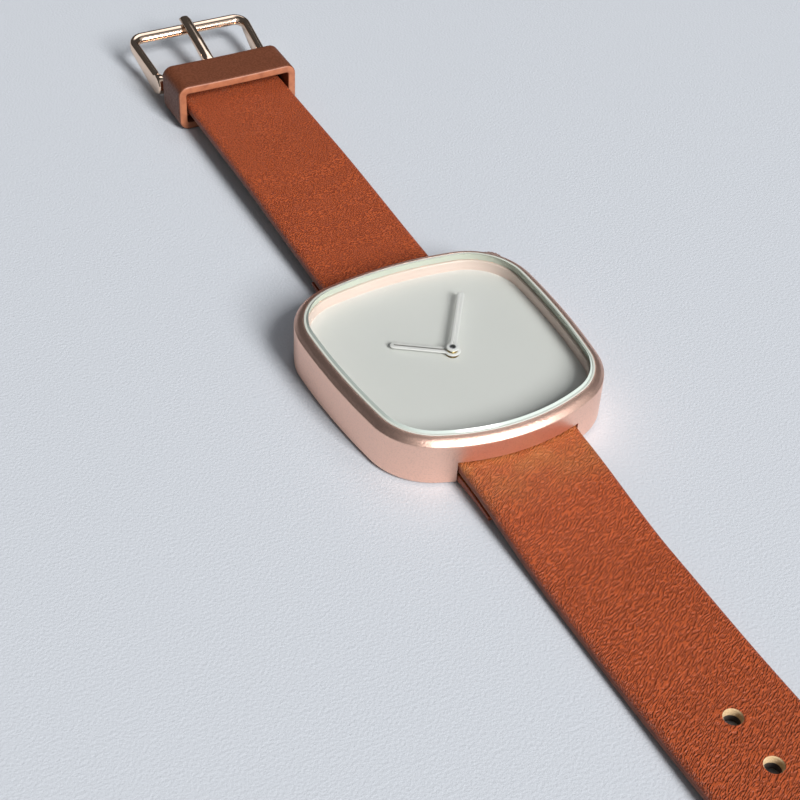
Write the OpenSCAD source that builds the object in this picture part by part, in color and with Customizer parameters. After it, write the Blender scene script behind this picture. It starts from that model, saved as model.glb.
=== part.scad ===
// Square cushion-cased quartz wristwatch on a two-piece leather strap.
// Origin: centre of the case back's flat face, on the table, below the hands' axis.
// +Y points to 12 o'clock (the buckle strap), +X to 3 o'clock, +Z out of the dial.

/* [Case] */
// Distance from the hands' axis to the case side at 3 o'clock
reach_3 = 20.0; // [19:0.1:23]
// Distance from the hands' axis to the case end at 12 o'clock
reach_12 = 21.5; // [21:0.1:24]
// Distance from the hands' axis to the case side at 9 o'clock
reach_9 = 21.0; // [19:0.1:23]
// Distance from the hands' axis to the case end at 6 o'clock
reach_6 = 21.9; // [21.4:0.1:24]
// Radius of the long flat arc of both sides
side_r = 120; // [80:1:200]
// Radius of the bulged arc of the 12 o'clock end
end_12_r = 64; // [45:1:100]
// Radius of the bulged arc of the 6 o'clock end
end_6_r = 34; // [32:1:80]
// Height towards 12 o'clock of the fullest point of the 3 o'clock side
full_3 = 4.5; // [0:0.5:8]
// Height towards 12 o'clock of the fullest point of the 9 o'clock side
full_9 = 8.5; // [0:0.5:9]
// Radius of the four rounded corners
corner_r = 10.8; // [9.5:0.1:12.5]
// Height of the case's lower edge above the table
case_z0 = 0.3; // [0.1:0.05:0.5]
// Height at which the upright wall and the sloping bezel would meet in a sharp edge
wall_z1 = 7.45; // [7:0.05:8]
// Height of the bezel's inner lip
bezel_z1 = 8.4; // [8.2:0.05:9]
// Width of the sloping bezel, from the wall to its inner lip
bezel_w = 1.35; // [1.1:0.05:1.6]
// Radius that rounds the edge between the wall and the bezel
shoulder_round = 0.45; // [0.2:0.05:0.6]
// Radius of the small round along the lower edge
foot_round = 0.45; // [0.2:0.05:0.6]

/* [Crystal and dial] */
// Height of the crystal's underside
crystal_z0 = 7.3; // [7.15:0.05:7.5]
// Thickness of the crystal
crystal_t = 1.4; // [1.2:0.05:1.8]
// Size of the crystal's top chamfer
crystal_chamfer = 0.35; // [0.1:0.05:0.5]
// Width of the case lip left outside the crystal's gasket
lip_w = 0.15; // [0.1:0.05:0.3]
// Thickness of the gasket round the crystal
crystal_gasket_t = 0.36; // [0.25:0.01:0.5]
// Width of the case ledge under the crystal's gasket and rim
ledge_w = 0.4; // [0.3:0.05:0.6]
// Thickness of the rehaut ring's wall
rehaut_t = 0.35; // [0.25:0.05:0.6]
// Height of the dial's underside, where it sits on the movement and the case
dial_z0 = 5.1; // [5.05:0.05:5.2]
// Thickness of the dial
dial_t = 0.4; // [0.3:0.05:0.5]
// Clearance round the dial and the rehaut ring
dial_clear = 0.05; // [0.02:0.01:0.1]
// Radius of the hole at the dial's centre
dial_hole_r = 1.05; // [0.95:0.05:1.15]

/* [Case back] */
// Radius of the case back's plate
back_r = 15.1; // [14.9:0.05:15.3]
// Thickness of the case back's plate
back_t = 0.8; // [0.6:0.05:0.9]
// Height of the snap lip above the plate
back_lip_h = 0.35; // [0.2:0.05:0.38]
// Radial wall of the snap lip
back_lip_t = 0.8; // [0.5:0.1:1.2]
// Radius of the round cavity that holds the movement
cavity_r = 14.2; // [14:0.05:14.3]
// Thickness of the case back's gasket
back_gasket_t = 0.3; // [0.2:0.05:0.4]
// Clearance round the case back's plate and lip
back_clear = 0.08; // [0.03:0.01:0.12]

/* [Crown and stem] */
// Direction of the crown, in degrees from 3 o'clock towards 12 o'clock
crown_angle = 47; // [42:1:50]
// Height of the stem's axis
stem_z = 3.4; // [3.35:0.05:3.45]
// Radius of the crown over its knurls
crown_r = 3.0; // [2.4:0.1:3.2]
// Length of the crown
crown_len = 2.2; // [2:0.1:2.8]
// Number of knurls round the crown
crown_knurls = 28; // [20:1:36]
// Gap between the crown and the case wall
crown_gap = 0.25; // [0.15:0.05:0.4]
// Distance that the crown pulls out to set the hands
crown_pull = 0.8; // [0.5:0.05:0.9]
// Outer radius of the crown tube
tube_r = 1.0; // [0.9:0.05:1.1]
// Bore radius of the crown tube
tube_bore_r = 0.55; // [0.5:0.05:0.6]
// Radius of the stem
stem_r = 0.4; // [0.35:0.01:0.42]

/* [Hands] */
// Length of the minute hand from its axis to its tip
minute_len = 13.9; // [11:0.1:15]
// Width of the minute hand
minute_w = 1.1; // [0.6:0.05:1.2]
// Radius of the minute hand's hub
minute_hub_r = 1.0; // [0.8:0.05:1.2]
// Height of the minute hand's underside
minute_z = 6.72; // [6.6:0.02:6.8]
// Length of the hour hand from its axis to its tip
hour_len = 9.6; // [7:0.1:11]
// Width of the hour hand
hour_w = 1.4; // [0.8:0.05:1.5]
// Radius of the hour hand's hub
hour_hub_r = 1.25; // [1.1:0.05:1.5]
// Height of the hour hand's underside
hour_z = 6.0; // [5.8:0.02:6.2]
// Thickness of both hands
hand_t = 0.18; // [0.12:0.02:0.2]
// Minutes past ten o'clock that the hands show
shown_minutes = 5.7; // [0:0.1:12]

/* [Strap] */
// Width of the strap at the case
strap_w_case = 19.9; // [18.9:0.1:19.9]
// Width of the buckle strap where it meets the buckle
strap_w_buckle = 19.9; // [17.6:0.1:19.9]
// Width of the holed strap at its end
strap_w_tip = 19.0; // [17:0.1:19.3]
// Thickness of the upper leather
upper_t = 1.1; // [0.9:0.05:1.2]
// Thickness of the lining leather
lining_t = 1.1; // [0.9:0.05:1.3]
// Thickness of the folded tail's end
tail_t = 0.8; // [0.6:0.05:1]
// Length of the folded tail beyond the bar's axis
tail_len = 10.7; // [9:0.1:13]
// Radius of the leather loop round a bar
loop_r = 1.85; // [1.8:0.05:1.85]
// Distance from the hands' axis to the end of the holed strap
strap_6_end = 134; // [128:1:142]
// Distance from the hands' axis to the first hole
hole_first = 73.0; // [70:0.5:76]
// Distance between neighbouring holes
hole_pitch = 8.2; // [6.5:0.1:8.4]
// Number of holes
hole_count = 6; // [5:1:6]
// Radius of each hole
hole_r = 1.2; // [1:0.05:1.4]
// Height of the buckle strap's top where it runs through the keeper
strap_12_top = 5.1; // [5.1:0.05:5.5]
// Height by which the holed strap's hump lifts off the table
hump_h = 1.1; // [0:0.1:2]

/* [Keeper] */
// Length of the keeper along the strap
keeper_len = 8.6; // [7:0.1:9]
// Wall thickness of the keeper
keeper_t = 1.5; // [1.2:0.1:1.5]
// Height of the free space inside the keeper
keeper_space = 5.9; // [5.7:0.1:6.4]
// Clearance between the keeper and the strap's edges
keeper_clear = 0.25; // [0.2:0.05:0.4]
// Radius of the keeper's outer corners
keeper_round = 1.9; // [1.6:0.1:2.2]
// Distance that the keeper slides towards the case
keeper_travel = 20; // [5:1:24]

/* [Buckle] */
// Distance from the hands' axis to the buckle's bar
buckle_bar_y = 95.2; // [95.2:0.1:98]
// Length of the frame from the bar's axis to its far edge
buckle_len = 14.8; // [13.4:0.1:17]
// Width of each side arm of the frame
arm_w = 1.6; // [1.2:0.1:1.8]
// Clearance between the frame's arms and the strap
arm_clear = 0.25; // [0.15:0.05:0.4]
// Depth of the far bar that the tang rests on
far_bar_w = 2.2; // [1.6:0.1:2.4]
// Thickness of the far bar
far_bar_t = 1.7; // [1.4:0.1:2]
// Angle by which each side arm leans outwards towards the far bar
buckle_flare = 3.5; // [0:0.5:5]
// Radius of the frame's outer corners
buckle_round = 3.0; // [2.4:0.1:3.6]
// Tilt of the frame as it lies, its far bar raised
buckle_tilt = 10; // [8:0.5:12]
// Width of the tang
tang_w = 2.2; // [1.6:0.1:2.3]
// Thickness of the tang
tang_t = 1.1; // [0.9:0.1:1.3]

/* [Spring bars] */
// Distance from the hands' axis to the two bars at the case
bar_y = 18.5; // [18.5:0.05:18.8]
// Height of the two bars at the case
bar_z = 2.15; // [2.1:0.05:2.2]
// Outer radius of a bar's tube
bar_r = 0.75; // [0.7:0.01:0.78]
// Running clearance between a bar and what turns on it
bar_clear = 0.05; // [0.03:0.01:0.08]
// Radius of a bar pin's tip
pin_tip_r = 0.4; // [0.35:0.01:0.42]
// Length of the pin tip that enters the lug or arm
pin_reach = 0.8; // [0.6:0.05:0.85]
// Gap between the strap and each side of its recess in the case
recess_gap = 0.15; // [0.15:0.01:0.35]
// Height of the recess's ceiling
recess_top = 4.3; // [4.3:0.05:4.4]

/* [Movement] */
// Width of the main plate from 3 to 9 o'clock of the movement
plate_w = 15.2; // [15.2:0.1:15.6]
// Length of the main plate from 6 to 12 o'clock of the movement
plate_l = 17.6; // [17.4:0.1:17.8]
// Thickness of the main plate
plate_t = 0.9; // [0.85:0.05:0.95]
// Radius of the button cell
battery_r = 3.4; // [3.3:0.05:3.45]
// Thickness of the button cell
battery_t = 2.6; // [2.1:0.1:2.6]
// Radius of the coil over its winding
coil_r = 1.05; // [0.9:0.05:1.05]
// Length of the coil's winding
coil_len = 9; // [7:0.1:9.2]
// Running clearance of arbors in their holes
pivot_clear = 0.03; // [0.02:0.005:0.05]
// Module of the hand-setting wheels
motion_module = 0.12; // [0.118:0.001:0.122]
// Distance from the centre wheel to the third wheel
third_distance = 3.6; // [3.55:0.01:3.65]
// Distance from the third wheel to the intermediate wheel
intermediate_distance = 3.15; // [3.1:0.01:3.2]
// Distance from the intermediate wheel to the rotor
rotor_distance = 1.92; // [1.9:0.01:1.95]

/* [Hidden] */
$fn = 64;
eps = 0.01;

// Colours of the visible materials
rose_metal = [0.86, 0.70, 0.64];
polished_metal = [0.90, 0.78, 0.72];
steel = [0.75, 0.76, 0.78];
brass = [0.82, 0.70, 0.42];
tan_leather = [0.66, 0.31, 0.17];
lining_leather = [0.55, 0.45, 0.38];
loop_brown = [0.50, 0.30, 0.22];
pale_dial = [0.79, 0.80, 0.78];
hand_silver = [0.85, 0.85, 0.84];
dark_rubber = [0.12, 0.12, 0.13];

// The case outline is four long arcs joined by four equal corner arcs
side_centre = [
  [reach_3 - side_r, full_3], [0, reach_12 - end_12_r],
  [side_r - reach_9, full_9], [0, end_6_r - reach_6]
];
side_radius = [side_r, end_12_r, side_r, end_6_r];
// Centre of the corner arc between side i and the next one
function corner_centre(i) =
  let (j = (i + 1) % 4, a = side_centre[i], b = side_centre[j],
       d1 = side_radius[i] - corner_r, d2 = side_radius[j] - corner_r,
       gap = norm(b - a), e = (b - a) / gap,
       k = (d1 * d1 - d2 * d2 + gap * gap) / (2 * gap), h = sqrt(d1 * d1 - k * k))
  a + k * e + h * [-e.y, e.x];
function heading(p, q) = atan2(q.y - p.y, q.x - p.x);
// Points of an arc from heading a to heading b, without its last point
function arc_points(c, r, a, b, n) =
  let (sweep = b - a - 360 * floor((b - a) / 360))
  [for (k = [0:n - 1]) c + r * [cos(a + sweep * k / n), sin(a + sweep * k / n)]];
// The whole outline, moved inwards by inset
function outline(inset) = [for (i = [0:3])
  let (j = (i + 1) % 4, before = corner_centre((i + 3) % 4), after = corner_centre(i),
       a = heading(side_centre[i], before), b = heading(side_centre[i], after),
       c = heading(side_centre[j], after))
  each concat(arc_points(side_centre[i], side_radius[i] - inset, a, b, 5),
              arc_points(after, corner_r - inset, b, c, 12))];
// Distance from the hands' axis to the corner wall in the crown's direction
crown_dir = [cos(crown_angle), sin(crown_angle)];
crown_corner = corner_centre(0);
wall_reach = crown_dir * crown_corner
  + sqrt(pow(crown_dir * crown_corner, 2) - crown_corner * crown_corner + corner_r * corner_r);

// The edge between wall and bezel turns by this angle, and its arc starts at this height
shoulder_turn = 90 - atan2(bezel_z1 - wall_z1, bezel_w);
shoulder_z = wall_z1 - shoulder_round * tan(shoulder_turn / 2);

// Insets of what nests in the case
gasket_inset = bezel_w + lip_w;
crystal_inset = gasket_inset + crystal_gasket_t;
opening_inset = gasket_inset + ledge_w;
dial_inset = opening_inset + dial_clear;
dial_z1 = dial_z0 + dial_t;
crystal_z1 = crystal_z0 + crystal_t;
seat_r = back_r + back_clear;
back_seat_z = back_t + back_gasket_t;

// Places along the crown's axis
crown_x = wall_reach + crown_gap;
crown_cavity = crown_len - 0.8;
tube_end = crown_x + crown_cavity - 0.1;
tube_start = wall_reach - 2.4;
stem_end = crown_x + crown_len - 0.35;

// Strap and keeper
strap_t = upper_t + lining_t;
recess_w = strap_w_case + 2 * recess_gap;
bore_r = bar_r + bar_clear;
top_case = bar_z + loop_r;
double_t = strap_t + tail_t + 0.45;
buckle_z = strap_12_top - loop_r;
keeper_y1 = buckle_bar_y - loop_r - 1.7;
keeper_y0 = keeper_y1 - keeper_len;
keeper_z1 = 2 * keeper_t + keeper_space;
arm_x = strap_w_buckle / 2 + arm_clear;
keeper_x = strap_w_buckle / 2 + keeper_clear;

// Height of the top of the buckle strap at y, level where the keeper runs
level_y = keeper_y0 - keeper_travel - 1;
function smooth(t) = let (u = min(max(t, 0), 1)) u * u * (3 - 2 * u);
function top_12(y) = top_case + (strap_12_top - top_case) * smooth((y - bar_y - 4) / (level_y - bar_y - 4));
// Height of the top of the holed strap at distance y: down to the table, then over a hump
land_y = 46;
hump_y0 = 60;
function top_6(y) =
  strap_t + (top_case - strap_t) * (1 - smooth((y - bar_y - 3) / (land_y - bar_y - 3)))
  + hump_h * pow(sin(180 * min(max((y - hump_y0) / (strap_6_end - 4 - hump_y0), 0), 1)), 2);

// Movement: wheel axes in its own frame, whose +X is the stem
minute_wheel_x = motion_module * (12 + 36) / 2;
setting_wheel_x = minute_wheel_x + motion_module * (36 + 16) / 2;
hour_module = motion_module * 48 / 60;
third_angle = 215;
third_at = third_distance * [cos(third_angle), sin(third_angle)];
intermediate_angle = 300;
intermediate_at = third_at + intermediate_distance * [cos(intermediate_angle), sin(intermediate_angle)];
rotor_at = intermediate_at + [rotor_distance, 0];
plate_z0 = dial_z0 - plate_t;
pocket_z = dial_z0 - 0.52;
bridge_z0 = 1.9;
bridge_t = 0.5;
battery_at = [-3.9, 5.4];
battery_z = plate_z0 - 0.1 - battery_t;
board_x = plate_w / 2 - 0.3;
board_y = plate_l / 2 - 0.3;
board_in = board_y - 2.6;
pillars = [[-6.2, -3.6], [3.6, -3.0], [0.9, 4.3]];
core_y = -7.3;
core_z = 2.95;
core_t = 0.3;
groove_x = 6.5;
pinion_x = 5.3;
pinion_travel = 0.5;
tongue_y = 0.42;
fork_y = -0.68;
lever_post = [groove_x + crown_pull / 2, 2.4];
yoke_post = [pinion_x - pinion_travel / 2, -2.4];
minute_heading = 90 - 6 * shown_minutes;
hour_heading = 90 - 300 - shown_minutes / 2;
works_z = pocket_z + 0.04;

// Flat shape of the case outline, moved inwards
module cushion(inset) polygon(outline(inset));

module cushion_block(inset, z0, z1) translate([0, 0, z0]) linear_extrude(z1 - z0) cushion(inset);

// Smooth closed skin through level outlines, each [height, inset]
module skin(levels) {
  rings = [for (l = levels) [for (p = outline(l[1])) [p.x, p.y, l[0]]]];
  n = len(rings[0]);
  m = len(rings);
  polyhedron(
    points = [for (r = rings) each r],
    faces = concat(
      [[for (i = [0:n - 1]) i]],
      [for (k = [0:m - 2], i = [0:n - 1]) [k * n + i, (k + 1) * n + i, (k + 1) * n + (i + 1) % n]],
      [for (k = [0:m - 2], i = [0:n - 1]) [k * n + i, (k + 1) * n + (i + 1) % n, k * n + (i + 1) % n]],
      [[for (i = [n - 1:-1:0]) (m - 1) * n + i]]));
}

module ring(r_out, r_in, z0, z1) translate([0, 0, z0]) difference() {
  cylinder(h = z1 - z0, r = r_out);
  translate([0, 0, -eps]) cylinder(h = z1 - z0 + 2 * eps, r = r_in);
}

module disc(r, z0, z1) translate([0, 0, z0]) cylinder(h = z1 - z0, r = r);

module slab(x0, x1, y0, y1, z0, z1) translate([x0, y0, z0]) cube([x1 - x0, y1 - y0, z1 - z0]);

// Straight-sided block with four round corners
module rounded_block(w, l, r, z0, z1) {
  slab(-w / 2 + r, w / 2 - r, -l / 2, l / 2, z0, z1);
  slab(-w / 2, w / 2, -l / 2 + r, l / 2 - r, z0, z1);
  for (sx = [-1, 1], sy = [-1, 1])
    translate([sx * (w / 2 - r), sy * (l / 2 - r), 0]) disc(r, z0, z1);
}

// Rod along +X from x0 to x1 at height z
module rod_x(r, x0, x1, z = 0, y = 0) translate([x0, y, z]) rotate([0, 90, 0]) cylinder(h = x1 - x0, r = r);

// Turns what is drawn along +X to the crown's direction
module crown_side() rotate([0, 0, crown_angle]) children();

// Toothed wheel with straight-flanked teeth, one tooth pointing at heading
module gear(teeth, mod, z0, z1, heading = 0) {
  pitch = 360 / teeth;
  root = mod * (teeth / 2 - 1.2);
  tip = mod * (teeth / 2 + 0.8);
  translate([0, 0, z0]) linear_extrude(z1 - z0) rotate(heading) polygon([for (k = [0:teeth - 1])
    let (a = k * pitch)
    each [root * [cos(a - pitch * 0.26), sin(a - pitch * 0.26)], tip * [cos(a - pitch * 0.1), sin(a - pitch * 0.1)],
          tip * [cos(a + pitch * 0.1), sin(a + pitch * 0.1)], root * [cos(a + pitch * 0.26), sin(a + pitch * 0.26)]]]);
}

// Case and what closes it

module case() color(rose_metal) difference() {
  skin([
    [case_z0, foot_round], [case_z0 + foot_round * 0.3, foot_round * 0.3], [case_z0 + foot_round, 0],
    for (k = [0:4])
      let (a = k / 4 * shoulder_turn) [shoulder_z + shoulder_round * sin(a), shoulder_round * (1 - cos(a))],
    [bezel_z1, bezel_w]]);
  cushion_block(gasket_inset, crystal_z0, bezel_z1 + 1);
  cushion_block(opening_inset, dial_z0, crystal_z0 + eps);
  disc(cavity_r, 0, dial_z0 + eps);
  disc(seat_r, -1, back_seat_z);
  for (s = [-1, 1]) {
    translate([-recess_w / 2, s > 0 ? bar_y - loop_r - 0.15 : -bar_y + loop_r + 0.15 - 8, -1])
      cube([recess_w, 8, recess_top + 1]);
    rod_x(pin_tip_r + bar_clear, -recess_w / 2 - pin_reach - 0.3, recess_w / 2 + pin_reach + 0.3, bar_z, s * bar_y);
  }
  crown_side() rod_x(tube_r, cavity_r - 1, wall_reach + 1, stem_z);
}

module crystal() color([0.85, 0.93, 0.92, 0.35]) skin([
  [crystal_z0, crystal_inset], [crystal_z1 - crystal_chamfer, crystal_inset],
  [crystal_z1, crystal_inset + crystal_chamfer]]);

module crystal_gasket() color([0.93, 0.92, 0.86]) difference() {
  cushion_block(gasket_inset, crystal_z0, bezel_z1 + 0.05);
  cushion_block(crystal_inset, crystal_z0 - eps, bezel_z1 + 1);
}

module rehaut_ring() color([0.93, 0.88, 0.82]) difference() {
  cushion_block(dial_inset, dial_z1, crystal_z0);
  cushion_block(dial_inset + rehaut_t, dial_z1 - eps, crystal_z0 + eps);
}

module dial() color(pale_dial) {
  difference() {
    cushion_block(dial_inset, dial_z0, dial_z1);
    disc(dial_hole_r, dial_z0 - eps, dial_z1 + eps);
  }
  crown_side() for (p = dial_feet) translate(p) disc(0.3, dial_z0 - 0.5, dial_z0 + 0.1);
}
dial_feet = [[6.3, 7.6], [-6.3, -7.6]];

module case_back() color(rose_metal) {
  difference() {
    disc(back_r, 0, back_t);
    translate([0, -back_r, 0]) slab(-1.2, 1.2, -0.4, 0.5, 0.25, back_t + eps);
  }
  ring(cavity_r - back_clear, cavity_r - back_clear - back_lip_t, back_t - eps, back_t + back_lip_h);
}

module case_back_gasket() color(dark_rubber)
  ring(seat_r - 0.1, cavity_r + 0.05, back_t, back_seat_z);

module crown_tube() color(rose_metal) crown_side() difference() {
  rod_x(tube_r, tube_start, tube_end, stem_z);
  rod_x(tube_bore_r, tube_start - eps, tube_end + eps, stem_z);
}

module crown() color(rose_metal) crown_side() difference() {
  union() {
    translate([crown_x, 0, stem_z]) rotate([0, 90, 0]) linear_extrude(crown_len - 0.4)
      polygon([for (k = [0:crown_knurls * 4 - 1])
        let (a = 90 * k / crown_knurls, r = crown_r - (k % 4 < 2 ? 0 : 0.16)) r * [cos(a), sin(a)]]);
    translate([crown_x + crown_len - 0.4 - eps, 0, stem_z]) rotate([0, 90, 0])
      cylinder(h = 0.4 + eps, r1 = crown_r - 0.2, r2 = crown_r - 0.7);
  }
  rod_x(tube_r + 0.55, crown_x - eps, crown_x + crown_cavity, stem_z);
  rod_x(stem_r, crown_x, stem_end, stem_z);
}

module crown_gasket() color(dark_rubber) crown_side() difference() {
  rod_x(tube_r + 0.5, crown_x + 0.1, crown_x + 0.5, stem_z);
  rod_x(tube_r + 0.03, crown_x + 0.1 - eps, crown_x + 0.5 + eps, stem_z);
}

// Stem: inner pivot, square drive, groove for the setting lever, then the shaft out to the crown
module winding_stem() color(steel) crown_side() union() {
  rod_x(0.25, 2.2, 3.8 + eps, stem_z);
  slab(3.8, 6.0, -0.25, 0.25, stem_z - 0.25, stem_z + 0.25);
  rod_x(stem_r, 5.9, groove_x - 0.3, stem_z);
  rod_x(0.22, groove_x - 0.3 - eps, groove_x + 0.3 + eps, stem_z);
  rod_x(stem_r, groove_x + 0.3, stem_end, stem_z);
}

// Hands

// Slim hand with round ends on a ringed hub, pointing along +X
module hand(length, width, hub_r, pipe_r, z) difference() {
  union() {
    disc(hub_r, z, z + hand_t);
    slab(0, length - width / 2, -width / 2, width / 2, z, z + hand_t);
    translate([length - width / 2, 0, 0]) disc(width / 2, z, z + hand_t);
  }
  disc(pipe_r, z - eps, z + hand_t + eps);
}

module minute_hand() color(hand_silver) rotate(minute_heading)
  hand(minute_len, minute_w, minute_hub_r, cannon_r, minute_z);

module hour_hand() color(hand_silver) rotate(hour_heading)
  hand(hour_len, hour_w, hour_hub_r, hour_pipe_r, hour_z);
cannon_r = 0.5;
cannon_bore_r = 0.28;
hour_pipe_r = 0.8;

// Movement

module movement_holder() color([0.86, 0.86, 0.84]) crown_side() difference() {
  disc(cavity_r - 0.2, back_t + back_lip_h + 0.05, dial_z0);
  rounded_block(plate_w + 0.2, plate_l + 0.2, 1.1, 0, dial_z0 + 1);
  rod_x(0.7, plate_w / 2 - 1, cavity_r + 1, stem_z);
}

module main_plate() color(steel) crown_side() {
  difference() {
    rounded_block(plate_w, plate_l, 1, plate_z0, dial_z0);
    disc(hour_module * 25 + 0.1, pocket_z, dial_z0 + eps);
    translate([minute_wheel_x, 0, 0]) disc(motion_module * 19 + 0.1, pocket_z, dial_z0 + eps);
    translate([setting_wheel_x, 0, 0]) disc(motion_module * 9 + 0.1, pocket_z, dial_z0 + eps);
    disc(0.3 + pivot_clear, plate_z0 - eps, dial_z0);
    for (p = dial_feet) translate(p) disc(0.33, dial_z0 - 0.55, dial_z0 + eps);
    for (p = [third_at, intermediate_at, rotor_at])
      translate(p) disc(0.12 + pivot_clear, plate_z0 - eps, plate_z0 + 0.3);
  }
  translate([minute_wheel_x, 0, 0]) disc(0.25, pocket_z - eps, dial_z0 - 0.05);
  translate([setting_wheel_x, 0, 0]) disc(0.25, pocket_z - eps, dial_z0 - 0.1);
  for (p = [lever_post, yoke_post]) translate(p) disc(0.3, stem_z - 0.3, plate_z0 + eps);
  for (p = pillars) translate(p) ring(0.6, 0.3, bridge_z0 + bridge_t, plate_z0 + eps);
  difference() {
    slab(3.2, 3.7, -0.8, 0.8, stem_z - 0.6, plate_z0 + eps);
    rod_x(0.25 + pivot_clear, 3.2 - eps, 3.7 + eps, stem_z);
  }
}

module train_bridge() color(brass) crown_side() difference() {
  translate([0, 0, bridge_z0]) linear_extrude(bridge_t) polygon([
    [-7.0, -4.2], [-5.4, -2.4], [-4.2, 0.4], [-0.4, 1.2], [0.1, 5.1], [1.7, 5.1],
    [1.7, 1.0], [4.5, -2.2], [4.5, -3.9], [2.2, -6.0], [-3.0, -6.0], [-6.4, -4.8]]);
  for (p = pillars) translate(p) disc(0.35, bridge_z0 - eps, bridge_z0 + bridge_t + eps);
  for (p = [[0, 0], third_at, intermediate_at, rotor_at])
    translate(p) disc(0.12 + pivot_clear, bridge_z0 + 0.1, bridge_z0 + bridge_t + eps);
}

module bridge_screws() color(steel) crown_side() for (p = pillars) translate(p) difference() {
  union() {
    disc(0.5, bridge_z0 - 0.3, bridge_z0);
    disc(0.3, bridge_z0 - eps, bridge_z0 + 1.6);
  }
  slab(-0.6, 0.6, -0.08, 0.08, bridge_z0 - 0.4, bridge_z0 - 0.15);
}

module battery() color([0.82, 0.83, 0.85]) crown_side() translate(battery_at) union() {
  disc(battery_r, battery_z + 0.25, battery_z + battery_t);
  disc(battery_r - 0.55, battery_z, battery_z + 0.25 + eps);
}

module battery_clamp() color(steel) crown_side() {
  y0 = battery_at.y - 0.7;
  y1 = battery_at.y + 0.7;
  slab(0.1 - plate_w / 2, battery_at.x + 2.5, y0, y1, battery_z - 0.15, battery_z);
  slab(0.05 - plate_w / 2, 0.2 - plate_w / 2, y0, y1, battery_z - 0.15, plate_z0);
}

module circuit_board() color([0.16, 0.36, 0.24]) crown_side() difference() {
  translate([0, 0, bridge_z0 - 0.4]) linear_extrude(0.2) polygon([
    [0.2, board_in], [0.2, board_y], [board_x, board_y], [board_x, 0.1 - board_y], [-board_x, 0.1 - board_y],
    [-board_x, 2.2 - board_y], [3.0, 2.2 - board_y], [board_x - 2.4, 4.1 - board_y], [board_x - 2.4, 3.0],
    [2.4, board_in]]);
  for (y = [board_in + 0.1, 0.9 - board_y]) translate([board_x - 0.7, y]) disc(0.3, 0, bridge_z0);
}

module quartz_oscillator() color([0.80, 0.81, 0.83]) crown_side() union() {
  end = board_x - 1.3;
  y = board_y - 1.2;
  rod_x(0.8, 0.9, end, plate_z0 - 0.8, y);
  for (s = [-1, 1]) rod_x(0.12, end - eps, end + 0.9, plate_z0 - 0.8, y + 0.35 * s);
}

module coil() color([0.70, 0.38, 0.20]) crown_side() union() {
  rod_x(coil_r, -coil_len / 2, coil_len / 2, core_z + core_t / 2, core_y);
  slab(-5.9, 5.9, core_y - 0.35, core_y + 0.35, core_z, core_z + core_t);
}

module stator() color([0.68, 0.69, 0.70]) crown_side() difference() {
  translate([0, 0, core_z + core_t]) linear_extrude(0.3) polygon([
    [-5.9, -7.8], [-4.9, -7.8], [-4.9, -6.1], [4.9, -6.1], [4.9, -7.8], [5.9, -7.8],
    [5.9, -5.2], [2.4, -5.2], [2.4, -3.5], [-2.2, -3.5], [-2.2, -5.2], [-5.9, -5.2]]);
  translate(rotor_at) disc(0.95, 0, plate_z0);
  translate(intermediate_at) disc(0.4, 0, plate_z0);
}

// Wheels of the going train: disc, pinion and arbor in one

module arbor(z0, z1, r = 0.18) union() {
  disc(0.12, z0, z1);
  disc(r, bridge_z0 + bridge_t + 0.03, plate_z0 - 0.03);
}

module rotor() color([0.30, 0.30, 0.33]) crown_side() translate(rotor_at) union() {
  arbor(bridge_z0 + 0.15, plate_z0 + 0.25);
  gear(8, 0.12, 2.5, 2.78, 180);
  disc(0.7, 3.05, 3.7);
}

module intermediate_wheel() color(brass) crown_side() translate(intermediate_at) union() {
  arbor(bridge_z0 + 0.15, plate_z0 + 0.25);
  gear(24, 0.12, 2.58, 2.7, 180 / 24);
  gear(10, 0.09, 2.85, 3.2, intermediate_angle + 180);
}

module third_wheel() color(brass) crown_side() translate(third_at) union() {
  arbor(bridge_z0 + 0.15, plate_z0 + 0.25);
  gear(60, 0.09, 2.95, 3.1, intermediate_angle + 180 / 60);
  gear(12, 0.1, 3.7, 4.05, third_angle + 180);
}

module centre_wheel() color(brass) crown_side() union() {
  disc(0.12, bridge_z0 + 0.15, bridge_z0 + bridge_t + 0.1);
  disc(0.3, bridge_z0 + bridge_t + 0.03, pocket_z + 0.02);
  disc(0.25, pocket_z, 6.0);
  gear(60, 0.1, 3.8, 3.95, third_angle + 180 / 60);
}

// Wheels under the dial that carry and set the hands

module cannon_pinion() color(steel) crown_side() difference() {
  union() {
    gear(12, motion_module, works_z, works_z + 0.2, 0);
    disc(cannon_r, works_z, minute_z + hand_t + 0.05);
  }
  disc(cannon_bore_r, works_z - eps, 6.3);
  disc(cannon_r - 0.08, 6.3 - eps, minute_z + 1);
}

module minute_wheel() color(brass) crown_side() translate([minute_wheel_x, 0, 0]) difference() {
  union() {
    gear(36, motion_module, works_z, works_z + 0.2, 180 + 180 / 36);
    gear(12, hour_module, works_z + 0.2 - eps, works_z + 0.42, 180);
  }
  disc(0.25 + pivot_clear, 0, dial_z0);
}

module hour_wheel() color(brass) crown_side() difference() {
  union() {
    gear(48, hour_module, works_z + 0.25, works_z + 0.39, 180 / 48);
    disc(hour_pipe_r, works_z + 0.25, hour_z + hand_t);
  }
  disc(cannon_r + pivot_clear, 0, dial_z0 + 3);
}

module hour_wheel_washer() color(brass)
  ring(1.6, hour_pipe_r + 0.06, dial_z0 - 0.06, dial_z0);

module setting_wheel() color(steel) crown_side() translate([setting_wheel_x, 0, 0]) difference() {
  gear(16, motion_module, works_z, works_z + 0.2, 180);
  disc(0.25 + pivot_clear, 0, dial_z0);
}

// Keyless works

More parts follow.
